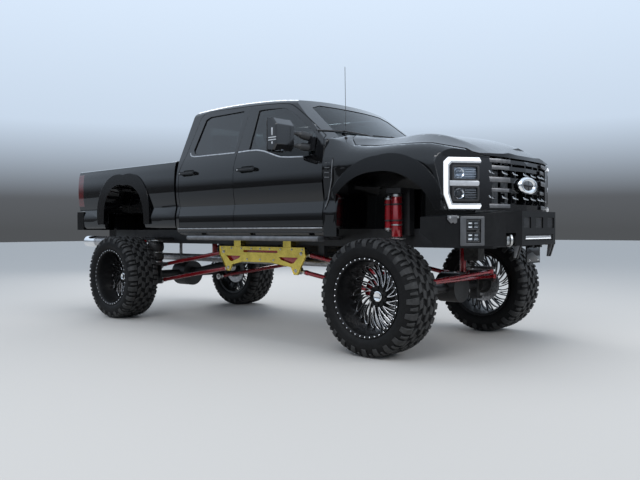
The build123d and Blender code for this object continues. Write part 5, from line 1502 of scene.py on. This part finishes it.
def makePad(long, wide, thick, channels, crown=0.022):
    shape = bmesh.new()
    bmesh.ops.create_cube(shape, size=1)
    bmesh.ops.scale(shape, verts=shape.verts, vec=(long, wide, thick))
    bmesh.ops.bevel(shape, geom=shape.edges[:], offset=thick * 0.36, segments=3, profile=0.5,
                    affect="EDGES", material=-1)
    bmesh.ops.subdivide_edges(shape, edges=[edge for edge in shape.edges if edge.calc_length() > 0.06],
                              cuts=14, use_grid_fill=True)
    reachU, reachV = seatSet["channelled"]
    for vert in shape.verts:
        u, v = vert.co.x / (long / 2), vert.co.y / (wide / 2)
        swell = max(0, 1 - u * u) ** 0.5 * max(0, 1 - v * v) ** 0.5
        seam = 1
        if abs(u) < reachU and abs(v) < reachV:
            seam = abs(math.sin(math.pi * (v * channels + channels) / 2)) ** 0.35
        lift = crown * swell - seatSet["channelDepth"] * (1 - seam)
        vert.co.z += lift * (1 if vert.co.z > 0 else -0.4)
        vert.co.x *= 1 - 0.018 * v * v
        vert.co.y *= 1 - 0.022 * u * u
    bmesh.ops.recalc_face_normals(shape, faces=shape.faces)
    return shape


def moved(shape, place, lean=0.0):
    turn = Matrix.Translation(place) @ Matrix.Rotation(math.radians(lean), 4, "Y")
    bmesh.ops.transform(shape, matrix=turn, verts=shape.verts)
    return shape


for number, (y, wide, backX, channels) in enumerate(seatSet["places"]):
    long, thick = seatSet["cushion"]
    tall, deep = seatSet["back"]
    label = ("driver", "passenger", "rear")[number]
    spots = (y,) if number < 2 else seatSet["rearRests"]
    base = cutBlock(0.440, wide - 0.130, 0.160, (backX + 0.335, y, 1.272), 0.020, 3)
    putPiece("seat_base_" + label, base, "chassis", ("plasticBlack",),
             ("seats",) if number == 0 else (), 35)
    pad = moved(makePad(long, wide, thick, channels), (backX + 0.345, y, 1.418), -3)
    cushion = putPiece("seat_cushion_" + label, pad, "chassis", ("clothDark",), smooth=60)
    pad = moved(makePad(deep, wide, tall, channels, 0.006), (backX + 0.060, y, 1.745), seatSet["lean"])
    back = putPiece("seat_back_" + label, pad, "chassis", ("clothDark",), smooth=60)
    rests = bmesh.new()
    for spot in spots:
        pad = makePad(*seatSet["headRest"], 1, 0.004)
        addTo(rests, moved(pad, (backX - 0.005, spot, 2.150), seatSet["lean"]))
    rest = putPiece("seat_rest_" + label, rests, "chassis", ("clothDark",), smooth=60)
    posts = bmesh.new()
    for spot in spots:
        for side in (-0.060, 0.060):
            addTo(posts, rod((backX + 0.012, spot + side, 2.020), (backX - 0.002, spot + side, 2.110),
                             0.007, 12, 0.001))
    putPiece("seat_posts_" + label, posts, "chassis", ("chrome",), smooth=35)
print("seats made")

wheelSet = {
    "middle": (1.000, 0.390, 1.740),
    "lean": -65,
    "radius": 0.185,
    "rimRadius": 0.016,
    "rimSides": 12,
    "hub": ((-0.030, 0), (-0.030, 0.050), (-0.012, 0.072), (0.008, 0.072), (0.018, 0.050), (0.022, 0)),
    "spoke": ((-0.020, 0.060), (0.020, 0.060), (0.014, 0.176), (-0.014, 0.176)),
    "spokesAt": (90, 180, 270),
}


def makeSteeringWheel(setting):
    angles = [i * math.tau / setting["rimSides"] for i in range(setting["rimSides"])]
    thick = setting["rimRadius"]
    points = [(thick * math.cos(angle), setting["radius"] + thick * math.sin(angle)) for angle in angles]
    whole = spinProfile(points, 64, True, 0)
    addTo(whole, spinProfile(setting["hub"], 40), 0)
    for turn in setting["spokesAt"]:
        spoke = slab(setting["spoke"], (0, -0.006, 0), *toRight, -0.014, 0.004, 1)
        addTo(whole, turnShape(spoke, math.radians(turn)), 1)
    # The profile's axis turns from Y to the column's line
    turnShape(whole, math.radians(90), "Z")
    turnShape(whole, math.radians(90 + setting["lean"]))
    bmesh.ops.translate(whole, verts=whole.verts, vec=setting["middle"])
    addTo(whole, rod((0.990, 0.390, 1.745), (1.240, 0.390, 1.628), 0.034, 28, 0.004), 0)
    for side in (1, -1):
        addTo(whole, tube(((1.060, 0.390, 1.715), (1.050, 0.390 + side * 0.090, 1.735),
                           (1.035, 0.390 + side * 0.150, 1.765)), 0.007, 10), 0)
    return whole


putPiece("steering_wheel_trim", makeSteeringWheel(wheelSet), "chassis",
         ("plasticBlack", "plasticGrey"), ("steering_wheel",), 40)


dashSet = {
    "outline": ((1.515, 1.420), (1.515, 1.830), (1.440, 1.876), (1.340, 1.862), (1.230, 1.828),
                (1.185, 1.795), (1.160, 1.720), (1.155, 1.650), (1.195, 1.560), (1.250, 1.420)),
    "hood": ((1.300, 1.850), (1.150, 1.868), (1.112, 1.850), (1.150, 1.812), (1.240, 1.822)),
    "console": ((1.480, 1.190), (1.180, 1.190), (1.110, 1.300), (1.150, 1.480), (1.240, 1.560),
                (1.480, 1.560)),
    "ventsY": (0.780, 0.620, -0.210, -0.780, -0.620),
}


def makeDash(setting):
    whole = slab(setting["outline"], (0, 0.870, 0), *toRight, 1.740, 0.018, 0)
    addTo(whole, slab(setting["hood"], (0, 0.560, 0), *toRight, 0.340, 0.010, 0))
    addTo(whole, moved(cutBlock(0.010, 0.300, 0.110, (0, 0, 0), 0.004, 2), (1.158, 0.390, 1.790), 12), 1)
    addTo(whole, moved(cutBlock(0.014, 0.300, 0.200, (0, 0, 0), 0.006, 2), (1.150, 0.0, 1.745), 6), 1)
    for y in setting["ventsY"]:
        vent = moved(slab(roundedPane(0.060, 0.032, 0.012), (0, 0, 0), *toBack, 0.012, 0.002, 2,
                          roundedPane(0.052, 0.024, 0.008)), (1.166, y, 1.738), 4)
        addTo(whole, vent)
        for i in range(4):
            addTo(whole, cutBlock(0.008, 0.100, 0.003, (1.163, y, 1.722 + i * 0.0105)), 2)
    addTo(whole, slab(setting["console"], (0, 0.130, 0), *toRight, 0.260, 0.014, 0))
    return whole


putPiece("dash_trim", makeDash(dashSet), "chassis",
         ("plasticBlack", "plasticGloss", "plasticGrey"), ("dashboard",), 35)

# Bed: a ribbed liner, rail caps and tie-down loops
bedSet = {
    "front": -0.880,
    "back": -2.930,
    "floor": 1.3803,
    "ribs": 15,
    "ribPitch": 0.084,
    "ringPlate": ((0, 0), (0, 0.030), (0.005, 0.030), (0.007, 0.024), (0.007, 0)),
}


def makeLiner(setting):
    long = setting["front"] - setting["back"]
    middle = (setting["front"] + setting["back"]) / 2
    whole = slab(roundedPane(long / 2, 0.630, 0.010), (middle, 0, setting["floor"]), *toUp, 0.004, 0.001, 0)
    for i in range(setting["ribs"]):
        spot = (middle, (i - (setting["ribs"] - 1) / 2) * setting["ribPitch"], setting["floor"] + 0.0038)
        addTo(whole, slab(roundedPane(long / 2 - 0.030, 0.021, 0.010), spot, *toUp, 0.009, 0.004, 0))
    for side in (1, -1):
        for x in (setting["front"] - 0.120, setting["back"] + 0.180):
            wall = Vector((x, side * 0.8495, 1.800))
            addTo(whole, lathe(wall, wall + Vector((0, -side, 0)), setting["ringPlate"], 24, 1))
            loop = []
            for angle in [i * math.pi / 6 for i in range(7)]:
                out = 0.006 + 0.022 * math.sin(angle)
                loop.append(wall + Vector((0.020 * math.cos(angle), -side * out, -0.004)))
            addTo(whole, tube(loop, 0.0045, 10, 1))
        cap = roundedPane(1.085, 0.030, 0.010)
        addTo(whole, slab(cap, (-1.9, side * 0.912, 1.9098), *toUp, 0.004, 0.0015, 0))
    return whole


putPiece("bed_liner", makeLiner(bedSet), "chassis", ("liner", "steelBolt"), smooth=35)
print("cabin and bed dressed")
